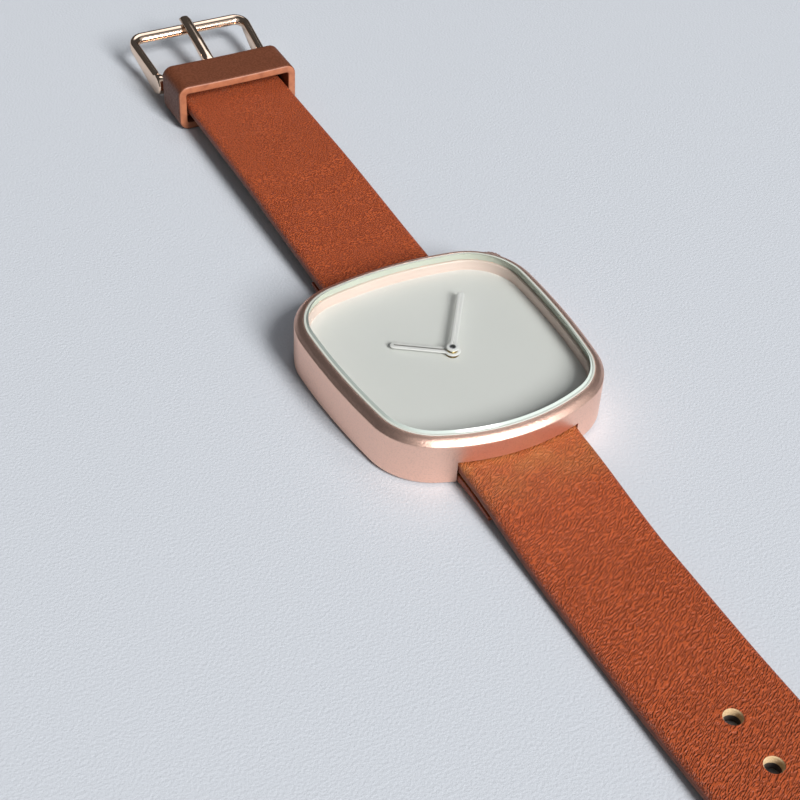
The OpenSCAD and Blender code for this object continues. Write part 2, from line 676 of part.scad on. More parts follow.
module sliding_pinion() color(steel) crown_side() difference() {
  union() {
    rod_x(0.75, pinion_x - 0.4, pinion_x - 0.15, stem_z);
    rod_x(0.5, pinion_x - 0.15 - eps, pinion_x + 0.15 + eps, stem_z);
    rod_x(0.75, pinion_x + 0.15, pinion_x + 0.4, stem_z);
  }
  slab(pinion_x - 1, pinion_x + 1, -0.28, 0.28, stem_z - 0.28, stem_z + 0.28);
  for (a = [0:45:315]) translate([pinion_x - 0.4 - eps, 0, stem_z]) rotate([a, 0, 0])
    translate([0, 0.5, -0.06]) cube([0.12, 0.4, 0.12]);
}

// Flat lever on a post, with a rounded tongue whose tip lies at the point to
module lever(post, to, tongue_r) {
  arm = norm(to - post);
  translate([post.x, post.y, stem_z - 0.15]) rotate(heading(post, to)) difference() {
    union() {
      cylinder(h = 0.3, r = 0.7);
      translate([0, -0.3, 0]) cube([arm - 0.5, 0.6, 0.3]);
      translate([0, -tongue_r, 0]) cube([arm, 2 * tongue_r, 0.3]);
      translate([arm, 0, 0]) cylinder(h = 0.3, r = tongue_r);
    }
    translate([0, 0, -eps]) cylinder(h = 0.4, r = 0.3 + pivot_clear);
  }
}

module setting_lever() color(steel) crown_side() lever(lever_post, [groove_x, tongue_y], 0.15);

module yoke() color(steel) crown_side() lever(yoke_post, [pinion_x, fork_y], 0.1);

// Strap

// Closed side profile between two heights, as points along the strap
function band(ys, upper, lower) = concat(
  [for (i = [0:len(ys) - 1]) [ys[i], lower[i]]],
  [for (i = [len(ys) - 1:-1:0]) [ys[i], upper[i]]]);
function steps(a, b, n) = [for (i = [0:n]) a + (b - a) * i / n];

// Draws a flat side profile, y then z, across the whole width
module across(w) translate([-w / 2, 0, 0]) rotate([90, 0, 90]) linear_extrude(w) children();

// Plan of a strap as points: widths at its two ends, the far one optionally rounded
module strap_plan(y0, y1, w0, w1) translate([0, 0, -5]) linear_extrude(30)
  polygon([[-w0 / 2, y0], [w0 / 2, y0], [w1 / 2, y1], [-w1 / 2, y1]]);

module strap_12_plan() strap_plan(bar_y - loop_r - 0.2, buckle_bar_y + loop_r + 0.2, strap_w_case, strap_w_buckle);

strap_12_ys = steps(bar_y, buckle_bar_y, 36);

module strap_12_upper() color(tan_leather) difference() {
  intersection() {
    across(strap_w_case + 2) union() {
      translate([bar_y, bar_z]) circle(loop_r);
      translate([buckle_bar_y, buckle_z]) circle(loop_r);
      polygon(band(strap_12_ys, [for (y = strap_12_ys) top_12(y)], [for (y = strap_12_ys) top_12(y) - upper_t]));
      tail_profile(bar_y, bar_z, 1, [for (y = tail_ys(bar_y, 1)) top_12(y) - strap_t]);
      tail_profile(buckle_bar_y, buckle_z, -1, [for (y = tail_ys(buckle_bar_y, -1)) top_12(y) - strap_t]);
    }
    strap_12_plan();
  }
  rod_x(bore_r, -20, 20, bar_z, bar_y);
  rod_x(bore_r, -20, 20, buckle_z, buckle_bar_y);
  tang_slot();
}

// Places along a folded tail, from beyond the bar to the tail's end
function tail_ys(y, dir) = [for (t = steps(0, 1, 6)) y + dir * (loop_r + (tail_len - loop_r) * t)];

// Folded tail: from the loop's underside to its thin end, its top following the heights above
module tail_profile(y, z, dir, tops) {
  ys = tail_ys(y, dir);
  lows = [for (i = [0:6]) (z - loop_r + 0.12) * (1 - i / 6) + (tops[i] - tail_t) * i / 6];
  ring = concat(
    [[y + dir, z - loop_r + 0.45]], [for (i = [0:6]) [ys[i], lows[i]]],
    [for (i = [6:-1:0]) [ys[i], tops[i]]], [[y + dir, tops[0] - 0.3]]);
  polygon(dir > 0 ? ring : [for (i = [len(ring) - 1:-1:0]) ring[i]]);
}

// Slot in the buckle end of the strap that the tang's ring turns in
module tang_slot() slab(-tang_w / 2 - 0.35, tang_w / 2 + 0.35, buckle_bar_y - loop_r - 0.9, buckle_bar_y + 5,
  buckle_z - 4, buckle_z + 4);

module strap_12_lining() color(lining_leather) difference() {
  ys = strap_12_ys;
  intersection() {
    across(strap_w_case + 2)
      polygon(band(ys, [for (y = ys) top_12(y) - upper_t], [for (y = ys) top_12(y) - strap_t]));
    strap_12_plan();
    slab(-20, 20, bar_y + loop_r + 0.05, buckle_bar_y - loop_r - 0.05, -5, 20);
  }
  tang_slot();
}

module strap_6_plan() mirror([0, 1, 0]) translate([0, 0, -5]) linear_extrude(30) union() {
  polygon([[-strap_w_case / 2, bar_y - loop_r - 0.2], [strap_w_case / 2, bar_y - loop_r - 0.2],
           [strap_w_tip / 2, strap_6_end - tip_r], [-strap_w_tip / 2, strap_6_end - tip_r]]);
  intersection() {
    translate([0, strap_6_end - tip_r]) circle(tip_r);
    translate([-strap_w_tip / 2, strap_6_end - tip_r - 1]) square([strap_w_tip, tip_r + 2]);
  }
}
tip_r = strap_w_tip / 2;

module strap_holes() for (k = [0:hole_count - 1])
  translate([0, -hole_first - k * hole_pitch, 0]) disc(hole_r, -5, 20);

strap_6_ys = steps(bar_y, strap_6_end, 48);

module strap_6_upper() color(tan_leather) difference() {
  intersection() {
    mirror([0, 1, 0]) across(strap_w_case + 2) union() {
      translate([bar_y, bar_z]) circle(loop_r);
      polygon(band(strap_6_ys, [for (y = strap_6_ys) top_6(y)], [for (y = strap_6_ys) top_6(y) - upper_t]));
      tail_profile(bar_y, bar_z, 1, [for (y = tail_ys(bar_y, 1)) top_6(y) - strap_t]);
    }
    strap_6_plan();
  }
  rod_x(bore_r, -20, 20, bar_z, -bar_y);
  strap_holes();
}

module strap_6_lining() color(lining_leather) difference() {
  ys = strap_6_ys;
  intersection() {
    mirror([0, 1, 0]) across(strap_w_case + 2)
      polygon(band(ys, [for (y = ys) top_6(y) - upper_t], [for (y = ys) top_6(y) - strap_t]));
    strap_6_plan();
    slab(-20, 20, -strap_6_end - 1, -bar_y - loop_r - 0.05, -5, 20);
  }
  strap_holes();
}

module keeper_loop() color(loop_brown) translate([0, keeper_y1, keeper_z1 / 2]) rotate([90, 0, 0])
  linear_extrude(keeper_len) difference() {
    rounded_flat(2 * (keeper_x + keeper_t), keeper_z1, keeper_round);
    rounded_flat(2 * keeper_x, keeper_space, 0.5);
  }

module rounded_flat(w, h, r) union() {
  square([w - 2 * r, h], center = true);
  square([w, h - 2 * r], center = true);
  for (sx = [-1, 1], sy = [-1, 1]) translate([sx * (w / 2 - r), sy * (h / 2 - r)]) circle(r);
}

// Spring bars: a tube with a sprung pin at each end

// Tube that spans half_w minus 2.2 to each side
module bar_tube(half_w) difference() {
  rod_x(bar_r, 2.2 - half_w, half_w - 2.2);
  rod_x(0.53, 2.1 - half_w, half_w - 2.1);
}

// Pin on the +X side: stem in the tube, collar, and the tip that enters the lug
module bar_pin(half_w) union() {
  rod_x(0.5, half_w - 3.5, half_w - 1.1);
  rod_x(bar_r - 0.03, half_w - 1.15, half_w - 0.85);
  rod_x(pin_tip_r, half_w - 0.9, half_w + pin_reach);
}

module at_bar_12() translate([0, bar_y, bar_z]) children();
module at_bar_6() translate([0, -bar_y, bar_z]) children();
module at_buckle_bar() translate([0, buckle_bar_y, buckle_z]) children();
case_half = recess_w / 2;

module spring_bar_12() color(steel) at_bar_12() bar_tube(case_half);
module bar_12_pin_3() color(steel) at_bar_12() bar_pin(case_half);
module bar_12_pin_9() color(steel) at_bar_12() mirror([1, 0, 0]) bar_pin(case_half);
module spring_bar_6() color(steel) at_bar_6() bar_tube(case_half);
module bar_6_pin_3() color(steel) at_bar_6() bar_pin(case_half);
module bar_6_pin_9() color(steel) at_bar_6() mirror([1, 0, 0]) bar_pin(case_half);
module buckle_bar() color(steel) at_buckle_bar() bar_tube(arm_x);
module buckle_pin_3() color(steel) at_buckle_bar() bar_pin(arm_x);
module buckle_pin_9() color(steel) at_buckle_bar() mirror([1, 0, 0]) bar_pin(arm_x);

// Buckle

// Side profile of the frame, y from the bar's axis, z up, before it is tilted
module buckle_side() union() {
  circle(1.9);
  polygon([[-1.2, -1.45], [0.4, -2.7], [2.2, -2.7], [buckle_len - 0.5, -0.65], [buckle_len, -0.3],
           [buckle_len, far_bar_t - 0.95], [buckle_len - 0.4, far_bar_t - 0.65], [0, 1.9 - 0.6]]);
}

module buckle_frame() color(polished_metal) at_buckle_bar() rotate([buckle_tilt, 0, 0]) difference() {
  intersection() {
    across(2 * (arm_x + arm_w + 2)) buckle_side();
    translate([0, 0, -6]) linear_extrude(12) difference() {
      buckle_plan(arm_x + arm_w, buckle_len, buckle_round);
      buckle_plan(arm_x, buckle_len - far_bar_w, 1.2);
    }
  }
  rod_x(pin_tip_r + bar_clear, -arm_x - pin_reach - 0.15, arm_x + pin_reach + 0.15);
}

// Plan with sides that lean outwards from y = 2 and run into two rounded far corners
module buckle_plan(half, far, r) {
  side_y = far - r - r * sin(buckle_flare);
  side_x = half + (side_y - 2) * tan(buckle_flare);
  corner_x = side_x - r * cos(buckle_flare);
  polygon([[-half, -4], [half, -4], [half, 2], [side_x, side_y], [corner_x, far - r], [corner_x, far],
           [-corner_x, far], [-corner_x, far - r], [-side_x, side_y], [-half, 2]]);
  for (s = [-1, 1]) translate([s * corner_x, far - r]) circle(r);
}

// Tang: a ring round the bar and a finger that lies on the far bar
module buckle_tang() color(polished_metal) at_buckle_bar() rotate([buckle_tilt, 0, 0]) difference() {
  across(tang_w) union() {
    circle(bore_r + 0.6);
    polygon([[0, 0.2], [1.2, -0.2], [buckle_len - far_bar_w, tang_z], [buckle_len + 0.4, tang_z],
             [buckle_len + 0.9, tang_z - 0.35], [buckle_len + 1.3, tang_z + 0.1],
             [buckle_len + 0.7, tang_z + tang_t - 0.1], [buckle_len - far_bar_w, tang_z + tang_t],
             [4, tang_z + tang_t - 0.2], [0.8, bore_r + 0.6], [0, bore_r + 0.6]]);
  }
  rod_x(bore_r, -tang_w, tang_w);
}
tang_z = far_bar_t - 0.65 + 0.03;

case();
crystal();
crystal_gasket();
rehaut_ring();
dial();
case_back();
case_back_gasket();
crown_tube();
crown();
crown_gasket();
winding_stem();
hour_hand();
minute_hand();
movement_holder();
main_plate();
train_bridge();
bridge_screws();
battery();
battery_clamp();
circuit_board();
quartz_oscillator();
coil();
stator();
rotor();
intermediate_wheel();
third_wheel();
centre_wheel();
cannon_pinion();
minute_wheel();
hour_wheel();
hour_wheel_washer();
setting_wheel();
sliding_pinion();
setting_lever();
yoke();
strap_12_upper();
strap_12_lining();
strap_6_upper();
strap_6_lining();
keeper_loop();
spring_bar_12();
bar_12_pin_3();
bar_12_pin_9();
spring_bar_6();
bar_6_pin_3();
bar_6_pin_9();
buckle_bar();
buckle_pin_3();
buckle_pin_9();
buckle_frame();
buckle_tang();
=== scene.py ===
# %% [markdown]
# # A square wristwatch on a leather strap
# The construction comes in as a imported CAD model: case, movement, bars, buckle, each already in
# its place. This lesson dresses it. The metal, glass and leather pieces that the eye meets are
# built again as fine surfaces, and everything else keeps its solid and gets a better material.
# All shapes are worked out in millimetres and turned to metres at the last moment.

# %% Load the frame
import bmesh
import bpy
import numpy as np
from mathutils import Matrix, Vector


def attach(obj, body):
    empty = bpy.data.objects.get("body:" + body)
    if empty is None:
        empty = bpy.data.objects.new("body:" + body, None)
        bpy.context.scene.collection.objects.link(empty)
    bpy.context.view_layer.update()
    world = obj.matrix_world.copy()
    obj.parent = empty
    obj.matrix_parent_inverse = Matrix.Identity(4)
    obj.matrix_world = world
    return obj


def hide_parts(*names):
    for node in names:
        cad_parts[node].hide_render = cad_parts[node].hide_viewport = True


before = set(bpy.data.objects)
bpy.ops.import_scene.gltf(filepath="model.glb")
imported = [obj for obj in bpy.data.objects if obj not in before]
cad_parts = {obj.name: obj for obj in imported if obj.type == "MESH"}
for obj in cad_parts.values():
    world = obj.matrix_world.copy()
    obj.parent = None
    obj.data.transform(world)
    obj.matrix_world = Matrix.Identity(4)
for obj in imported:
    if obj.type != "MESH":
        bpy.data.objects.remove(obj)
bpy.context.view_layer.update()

MM = 0.001
scene = bpy.context.scene

# %% [markdown]
# ## The camera
# A product photograph of something this long is taken from far away, so the strap does not
# taper much. The lens and place below were found by matching the outline of the case and the
# strap. A camera looks along its own -Z, so its three axes are worked out first and then put
# into the columns of its matrix.

# %% Camera
ELEVATION, AZIMUTH, ROLL = 41.52, -29.49, -3.32
DISTANCE, SHIFT_X, SHIFT_Y = 247.48, -7.72, -2.94
LENS = 72.0


def camera_axes(elevation, azimuth, roll):
    """Rows right, up and back: back points from the object to the camera, then all turn by the roll."""
    e, a, r = np.radians([elevation, azimuth, roll])
    back = np.array([np.sin(a) * np.cos(e), -np.cos(a) * np.cos(e), np.sin(e)])
    right = np.array([np.cos(a), np.sin(a), 0.0])
    up = np.cross(back, right)
    return np.array([right * np.cos(r) - up * np.sin(r), right * np.sin(r) + up * np.cos(r), back])


axes = camera_axes(ELEVATION, AZIMUTH, ROLL)
camera = bpy.data.objects.new("camera", bpy.data.cameras.new("camera"))
scene.collection.objects.link(camera)
place = axes[2] * DISTANCE + np.array([SHIFT_X, SHIFT_Y, 0.0]) @ axes
matrix = Matrix(axes.T.tolist()).to_4x4()
matrix.translation = (place * MM).tolist()
camera.matrix_world = matrix
camera.data.lens = LENS
camera.data.sensor_width = 36.0
camera.data.clip_start = 0.01
scene.camera = camera
print("camera at", np.round(place, 1), "mm")

# %% [markdown]
# ## From arrays to meshes
# Every new piece is a grid of points: one direction runs along the piece, the other around
# its section. The helper below joins neighbours into four-sided faces, closes the grid into a
# ring where it should be one, and closes open ends. Normals are pointed outwards at the end,
# and edges sharper than a chosen angle stay crisp while the rest is shaded smooth.

# %% Grid to mesh
def grid_faces(rows, columns, ring_rows):
    """Corner numbers of the faces between neighbouring points; the columns always close to a ring."""
    i = np.arange(rows if ring_rows else rows - 1)[:, None]
    j = np.arange(columns)[None, :]
    i2, j2 = (i + 1) % rows, (j + 1) % columns
    corners = [i * columns + j, i2 * columns + j, i2 * columns + j2, i * columns + j2]
    return np.stack([np.broadcast_to(c, (len(i), columns)) for c in corners], -1).reshape(-1, 4)


def make_piece(name, points, materials, ring_rows=False, slots=None, capped=False, crisp=35.0, weld=0.0):
    """Builds a mesh object from points of shape (rows, columns, 3) in millimetres.

    slots holds each grid face's material number. crisp is the angle from which an edge stays
    sharp, and points closer than weld millimetres become one."""
    rows, columns = points.shape[:2]
    faces = grid_faces(rows, columns, ring_rows).tolist()
    if capped:
        faces.append(list(range(columns))[::-1])
        faces.append([(rows - 1) * columns + k for k in range(columns)])
    mesh = bpy.data.meshes.new(name)
    mesh.from_pydata((points.reshape(-1, 3) * MM).tolist(), [], faces)
    for material in materials:
        mesh.materials.append(material)
    if slots is not None:
        index = np.zeros(len(faces), np.int32)
        index[:slots.size] = slots.reshape(-1)
        mesh.polygons.foreach_set("material_index", index)
    piece = bpy.data.objects.new(name, mesh)
    scene.collection.objects.link(piece)
    work = bmesh.new()
    work.from_mesh(mesh)
    if weld:
        bmesh.ops.remove_doubles(work, verts=work.verts, dist=weld * MM)
    bmesh.ops.recalc_face_normals(work, faces=work.faces)
    work.to_mesh(mesh)
    work.free()
    mesh.shade_smooth()
    mesh.set_sharp_from_angle(angle=np.radians(crisp))
    return piece


def carve(piece, cutters, crisp):
    """Cuts the cutters out of the piece and deletes them; a cut face keeps its cutter's slot number."""
    for cutter in cutters:
        cut = piece.modifiers.new("cut", "BOOLEAN")
        cut.operation, cut.solver, cut.object = "DIFFERENCE", "EXACT", cutter
    bpy.context.view_layer.update()
    ready = bpy.data.meshes.new_from_object(piece.evaluated_get(bpy.context.evaluated_depsgraph_get()))
    piece.modifiers.clear()
    old = piece.data
    piece.data = ready
    ready.name = old.name
    bpy.data.meshes.remove(old)
    for cutter in cutters:
        bpy.data.objects.remove(cutter)
    ready.shade_smooth()
    ready.set_sharp_from_angle(angle=np.radians(crisp))


def dress(piece, body, node):
    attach(piece, body)
    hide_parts(node)
    size = " x ".join(f"{length / MM:.1f}" for length in piece.dimensions)
    print(f"{piece.name}: {len(piece.data.polygons)} faces, {size} mm, rides {body}")


# %% [markdown]
# ## Rounded sections
# A strap, a leather loop and a buckle's frame are all sections carried along a path. The section
# here is a rectangle with rounded corners, given as four arrays: which side a point is on, and
# how far round its corner it has gone. The same arrays serve every width and thickness.

# %% Section of a band
def section(flat=12, corner=6):
    """Arrays a, b, c, s around a rounded rectangle: a point is at
    (a * (half width - r) + r * c, b * (half thickness - r) + r * s) for corner radius r."""
    quarter = np.linspace(0, 90, corner + 1)
    a, b, c, s = [], [], [], []
    for across, up, start in ((1, 1, 0), (-1, 1, 90), (-1, -1, 180), (1, -1, 270)):
        turn = np.radians(start + quarter)
        a.append(np.full(corner + 1, float(across)))
        b.append(np.full(corner + 1, float(up)))
        c.append(np.cos(turn))
        s.append(np.sin(turn))
        if across == up:
            a.append(np.linspace(1, -1, flat + 2)[1:-1] * across)
            b.append(np.full(flat, float(up)))
            c.append(np.zeros(flat))
            s.append(np.full(flat, float(up)))
    return [np.concatenate(v) for v in (a, b, c, s)]


def side_slots(rows, flat, corner, from_deg):
    """Slot of each face of a swept section: 1 where it leans over more than from_deg, else 0."""
    a, b, c, s = section(flat, corner)
    lean = np.degrees(np.arctan2(np.abs(c), np.abs(s)))
    slot = ((lean + np.roll(lean, -1)) / 2 > from_deg).astype(np.int32)
    return np.broadcast_to(slot, (rows - 1, len(slot)))


def band(path, half_width, thickness, top_round, bottom_round, across=(1, 0, 0), flat=12, corner=6):
    """Carries the rounded section along a path of points (n, 3).

    across is the width's direction; the thickness runs at right angles to it and to the path."""
    path, across = np.asarray(path, float), np.asarray(across, float)
    along = np.gradient(path, axis=0)
    up = np.cross(along / np.linalg.norm(along, axis=1)[:, None], across)
    up /= np.linalg.norm(up, axis=1)[:, None]
    a, b, c, s = section(flat, corner)
    r = np.where(b > 0, top_round, bottom_round)
    x = (a * (half_width - r) + r * c)[:, None]
    z = (b * (thickness / 2 - r) + r * s)[:, None]
    return path[:, None, :] + x * across + z * up[:, None, :]


def run_along(path):
    """Distance along a line of points, from its first point to each."""
    return np.concatenate([[0], np.cumsum(np.linalg.norm(np.diff(path, axis=0), axis=1))])


def resample(path, step):
    """Points about every step millimetres along a line through the given points."""
    run = run_along(path)
    at = np.linspace(0, run[-1], max(int(run[-1] / step), 2) + 1)
    return np.stack([np.interp(at, run, column) for column in path.T], 1)


def smooth(t):
    """Eased step from 0 to 1."""
    t = np.clip(t, 0, 1)
    return t * t * (3 - 2 * t)


# %% [markdown]
# ## Colours and nodes
# Colours are written as the hex values that a colour picker shows, so they are turned to the
# linear values that the renderer works in. One small function adds a node, sets its values and
# joins its inputs, and every material below is written with it.

# %% Colour and node helpers
def linear(hex_code):
    """sRGB hex to linear red, green, blue and alpha."""
    c = np.array([int(hex_code[k:k + 2], 16) for k in (1, 3, 5)]) / 255
    c = np.where(c <= 0.04045, c / 12.92, ((c + 0.055) / 1.055) ** 2.4)
    return (*c.tolist(), 1.0)


def add(tree, kind, values=None, links=None, **settings):
    """Adds a shader node: settings are its own options, values and links are keyed by input name
    or number. A link starts at a socket, or at a node, which stands for its first output."""
    node = tree.nodes.new("ShaderNode" + kind)
    for key, value in settings.items():
        setattr(node, key, value)
    for key, value in (values or {}).items():
        node.inputs[key].default_value = value
    for key, source in (links or {}).items():
        tree.links.new(source.outputs[0] if hasattr(source, "outputs") else source, node.inputs[key])
    return node


def new_material(name):
    """An empty material, its node tree and the Object coordinates that its patterns read."""
    material = bpy.data.materials.new(name)
    material.use_nodes = True
    tree = material.node_tree
    tree.nodes.clear()
    return material, tree, add(tree, "TexCoord").outputs["Object"]


def per_mm(size):
    """Texture scale for a pattern that repeats about every size millimetres, on coordinates in metres."""
    return 1.0 / (size * MM)


# %% [markdown]
# ## Metals
# The case is steel with a rose-gold coating, blasted with fine beads so that it scatters light
# softly. Blasted metal has no direction, only a fine grain, so round noise gives it small bumps,
# slight changes of roughness, and painted shade in its pits. The buckle has the same coating,
# polished. A metal needs no reflection index of its own: its colour is the colour of what it reflects.

# %% Metal materials
def blasted_metal(name, colour, roughness, grain_mm=0.26, depth_mm=0.05, pit_shade=0.90):
    """Bead-blasted plated steel: even grain in bump and roughness, and painted shade in the pits, a
    darker copy of the colour for metal that sees only itself there. Real pits are near 0.05 mm; they
    are drawn coarser, so that they show."""
    material, tree, place = new_material(name)
    # Painted shade: in the pits the colour is darkened by the given factor.
    pit_shade_colour = (*(pit_shade * value for value in linear(colour)[:3]), 1.0)
    grain = add(tree, "TexNoise", {"Scale": per_mm(grain_mm), "Detail": 2.0, "Roughness": 0.6},
                {"Vector": place})
    outside_pit_shade = add(tree, "MapRange", {"From Min": 0.30, "From Max": 0.52}, {"Value": grain})
    tint = add(tree, "Mix", {6: pit_shade_colour, 7: linear(colour)}, {0: outside_pit_shade}, data_type="RGBA")
    rough = add(tree, "MapRange", {"To Min": roughness - 0.05, "To Max": roughness + 0.06}, {"Value": grain})
    bump = add(tree, "Bump", {"Strength": 1.0, "Distance": depth_mm * MM}, {"Height": grain})
    shader = add(tree, "BsdfPrincipled", {"Metallic": 1.0},
                 {"Base Color": tint.outputs[2], "Roughness": rough, "Normal": bump})
    add(tree, "OutputMaterial", None, {0: shader})
    return material


def polished_metal(name, colour, roughness, scratch_mm=0.05, wave_mm=2.5):
    """Polished or plain machined metal: faint hair scratches in the roughness, a barely uneven surface."""
    material, tree, place = new_material(name)
    stretch = add(tree, "Mapping", {"Scale": (1.0, 0.05, 1.0)}, {"Vector": place})
    hair = add(tree, "TexNoise", {"Scale": per_mm(scratch_mm), "Detail": 1.0}, {"Vector": stretch})
    rough = add(tree, "MapRange", {"To Min": roughness * 0.8, "To Max": roughness * 1.3}, {"Value": hair})
    wave = add(tree, "TexNoise", {"Scale": per_mm(wave_mm), "Detail": 1.0}, {"Vector": place})
    bump = add(tree, "Bump", {"Strength": 0.06, "Distance": 0.06 * MM}, {"Height": wave})
    shader = add(tree, "BsdfPrincipled", {"Metallic": 1.0, "Base Color": linear(colour)},
                 {"Roughness": rough, "Normal": bump})
    add(tree, "OutputMaterial", None, {0: shader})
    return material


case_steel = blasted_metal("rose_plated_steel_blasted", "#F7CDBA", 0.4)
back_steel = polished_metal("rose_plated_steel_satin", "#D9B3A2", 0.34)
buckle_steel = polished_metal("rose_plated_steel_polished", "#F0D4BC", 0.1)
bar_steel = polished_metal("stainless_steel_turned", "#B9BCC0", 0.30)
movement_steel = polished_metal("nickelled_steel_satin", "#B4B6B9", 0.36)
movement_brass = polished_metal("brass_wheel_stock", "#C9AE6A", 0.30)
cell_steel = polished_metal("battery_can_steel", "#C4C6C8", 0.28)
print("metals ready")

# %% [markdown]
# ## Leather
# The strap is calf leather with a fine grain, dyed cognac. Three things make leather read as
# leather: small raised pebbles and wrinkles, with painted shade in the creases between them, slow
# changes of colour where the dyeing took differently, and a soft, broken shine. Noise drawn out in
# one direction gives the wrinkles, which run aslant over the strap, Voronoi cells give the pores
# between them, and a wide noise the changes of colour. Beside the case the colour is lighter:
# partly wear, partly a painted sheen.

# %% Leather material
# Limits along the strap of the lighter colour beside the case: wear and a painted sheen.
WEAR_SHEEN_FAR, WEAR_SHEEN_NEAR = -34.0, -20.0


def leather(name, colour, dark, grain_mm=0.2, depth_mm=0.10, roughness=0.48, turn=32.0, stretch=0.3,
            wear_and_sheen=None):
    """Grained, dyed leather. colour is the raised grain's own colour, and dark is painted shade in the
    creases and pores.

    The grain is noise with a size of grain_mm across its wrinkles, which run turn degrees from the
    strap's width and are 1 / stretch times as long. A lighter colour, if given, is laid between the
    two limits set above, along the strap beside the case, where it is bent most: partly wear, partly
    a painted sheen."""
    material, tree, place = new_material(name)
    turned = add(tree, "Mapping", {"Rotation": (0.0, 0.0, -np.radians(turn))}, {"Vector": place})
    drawn = add(tree, "Mapping", {"Scale": (stretch, 1.0, 1.0)}, {"Vector": turned})
    wrinkle = add(tree, "TexNoise", {"Scale": per_mm(grain_mm), "Detail": 0.6, "Roughness": 0.45},
                  {"Vector": drawn})
    pore = add(tree, "TexVoronoi", {"Scale": per_mm(grain_mm * 0.9)}, {"Vector": place})
    mottle = add(tree, "TexNoise", {"Scale": per_mm(9.0), "Detail": 3.0}, {"Vector": place})
    ridge = add(tree, "MapRange", {"From Min": 0.36, "From Max": 0.62}, {"Value": wrinkle},
                interpolation_type="SMOOTHSTEP")
    pebble = add(tree, "MapRange", {"From Min": 0.1, "From Max": 0.7, "To Min": 1.0, "To Max": 0.0},
                 {"Value": pore})
    grain = add(tree, "Mix", {0: 0.15}, {2: ridge, 3: pebble}, data_type="FLOAT")
    height = add(tree, "Math", {1: depth_mm * MM}, {0: grain}, operation="MULTIPLY")
    bump = add(tree, "Bump", {"Strength": 1.0, "Distance": 1.0}, {"Height": height})
    even = add(tree, "MapRange", {"From Min": 0.3, "From Max": 0.7, "To Min": -0.04, "To Max": 0.04},
               {"Value": mottle})
    tone = add(tree, "Math", None, {0: grain, 1: even}, operation="ADD")
    # Painted shade: the creases and pores take the darker colour.
    grain_colour_and_shade = add(tree, "Mix", {6: linear(dark), 7: linear(colour)}, {0: tone}, data_type="RGBA")
    surface = grain_colour_and_shade.outputs[2]
    # Beside the case a lighter colour: partly wear, partly a painted sheen.
    if wear_and_sheen:
        apart = add(tree, "SeparateXYZ", None, {0: place})
        near = add(tree, "MapRange", {"From Min": WEAR_SHEEN_FAR * MM, "From Max": WEAR_SHEEN_NEAR * MM, "To Max": 0.75},
                   {"Value": apart.outputs["Y"]}, interpolation_type="SMOOTHSTEP")
        patch = add(tree, "TexNoise", {"Scale": per_mm(5.0), "Detail": 2.0}, {"Vector": place})
        rubbed = add(tree, "MapRange", {"From Min": 0.35, "From Max": 0.65, "To Min": 0.35}, {"Value": patch})
        wear_sheen_share = add(tree, "Math", None, {0: near, 1: rubbed}, operation="MULTIPLY")
        wear_sheen_tint = add(tree, "Mix", {7: linear(wear_and_sheen)}, {0: wear_sheen_share, 6: surface}, data_type="RGBA")
        surface = wear_sheen_tint.outputs[2]
    rough = add(tree, "MapRange", {"To Min": roughness + 0.08, "To Max": roughness - 0.05}, {"Value": grain})
    shader = add(tree, "BsdfPrincipled", {"IOR": 1.45},
                 {"Base Color": surface, "Roughness": rough, "Normal": bump})
    add(tree, "OutputMaterial", None, {0: shader})
    return material


def edge_paint(name, colour, dark, roughness):
    """Thick paint on a cut leather edge: nearly smooth, a little wavy, with rubbed darker spots."""
    material, tree, place = new_material(name)
    wave = add(tree, "TexNoise", {"Scale": per_mm(1.3), "Detail": 3.0}, {"Vector": place})
    rubbed = add(tree, "MapRange", {"From Min": 0.42, "From Max": 0.72}, {"Value": wave})
    tint = add(tree, "Mix", {6: linear(colour), 7: linear(dark)}, {0: rubbed}, data_type="RGBA")
    bump = add(tree, "Bump", {"Strength": 0.5, "Distance": 0.05 * MM}, {"Height": wave})
    shader = add(tree, "BsdfPrincipled", {"Roughness": roughness, "IOR": 1.48},
                 {"Base Color": tint.outputs[2], "Normal": bump})
    add(tree, "OutputMaterial", None, {0: shader})
    return material


def raw_leather(name, colour, dark, fibre_mm=0.25, roughness=0.85):
    """Cut or sueded leather: short fibres that catch a faint sheen, no shine."""
    material, tree, place = new_material(name)
    fibre = add(tree, "TexNoise", {"Scale": per_mm(fibre_mm), "Detail": 4.0, "Roughness": 0.7},
                {"Vector": place})
    patch = add(tree, "TexNoise", {"Scale": per_mm(4.0), "Detail": 2.0}, {"Vector": place})
    both = add(tree, "Math", None, {0: fibre, 1: patch}, operation="MULTIPLY")
    spread = add(tree, "MapRange", {"From Min": 0.12, "From Max": 0.4}, {"Value": both})
    tint = add(tree, "Mix", {6: linear(dark), 7: linear(colour)}, {0: spread}, data_type="RGBA")
    bump = add(tree, "Bump", {"Strength": 0.7, "Distance": 0.06 * MM}, {"Height": fibre})
    shader = add(tree, "BsdfPrincipled",
                 {"Roughness": roughness, "IOR": 1.45, "Sheen Weight": 0.25, "Sheen Roughness": 0.5},
                 {"Base Color": tint.outputs[2], "Normal": bump})
    add(tree, "OutputMaterial", None, {0: shader})
    return material


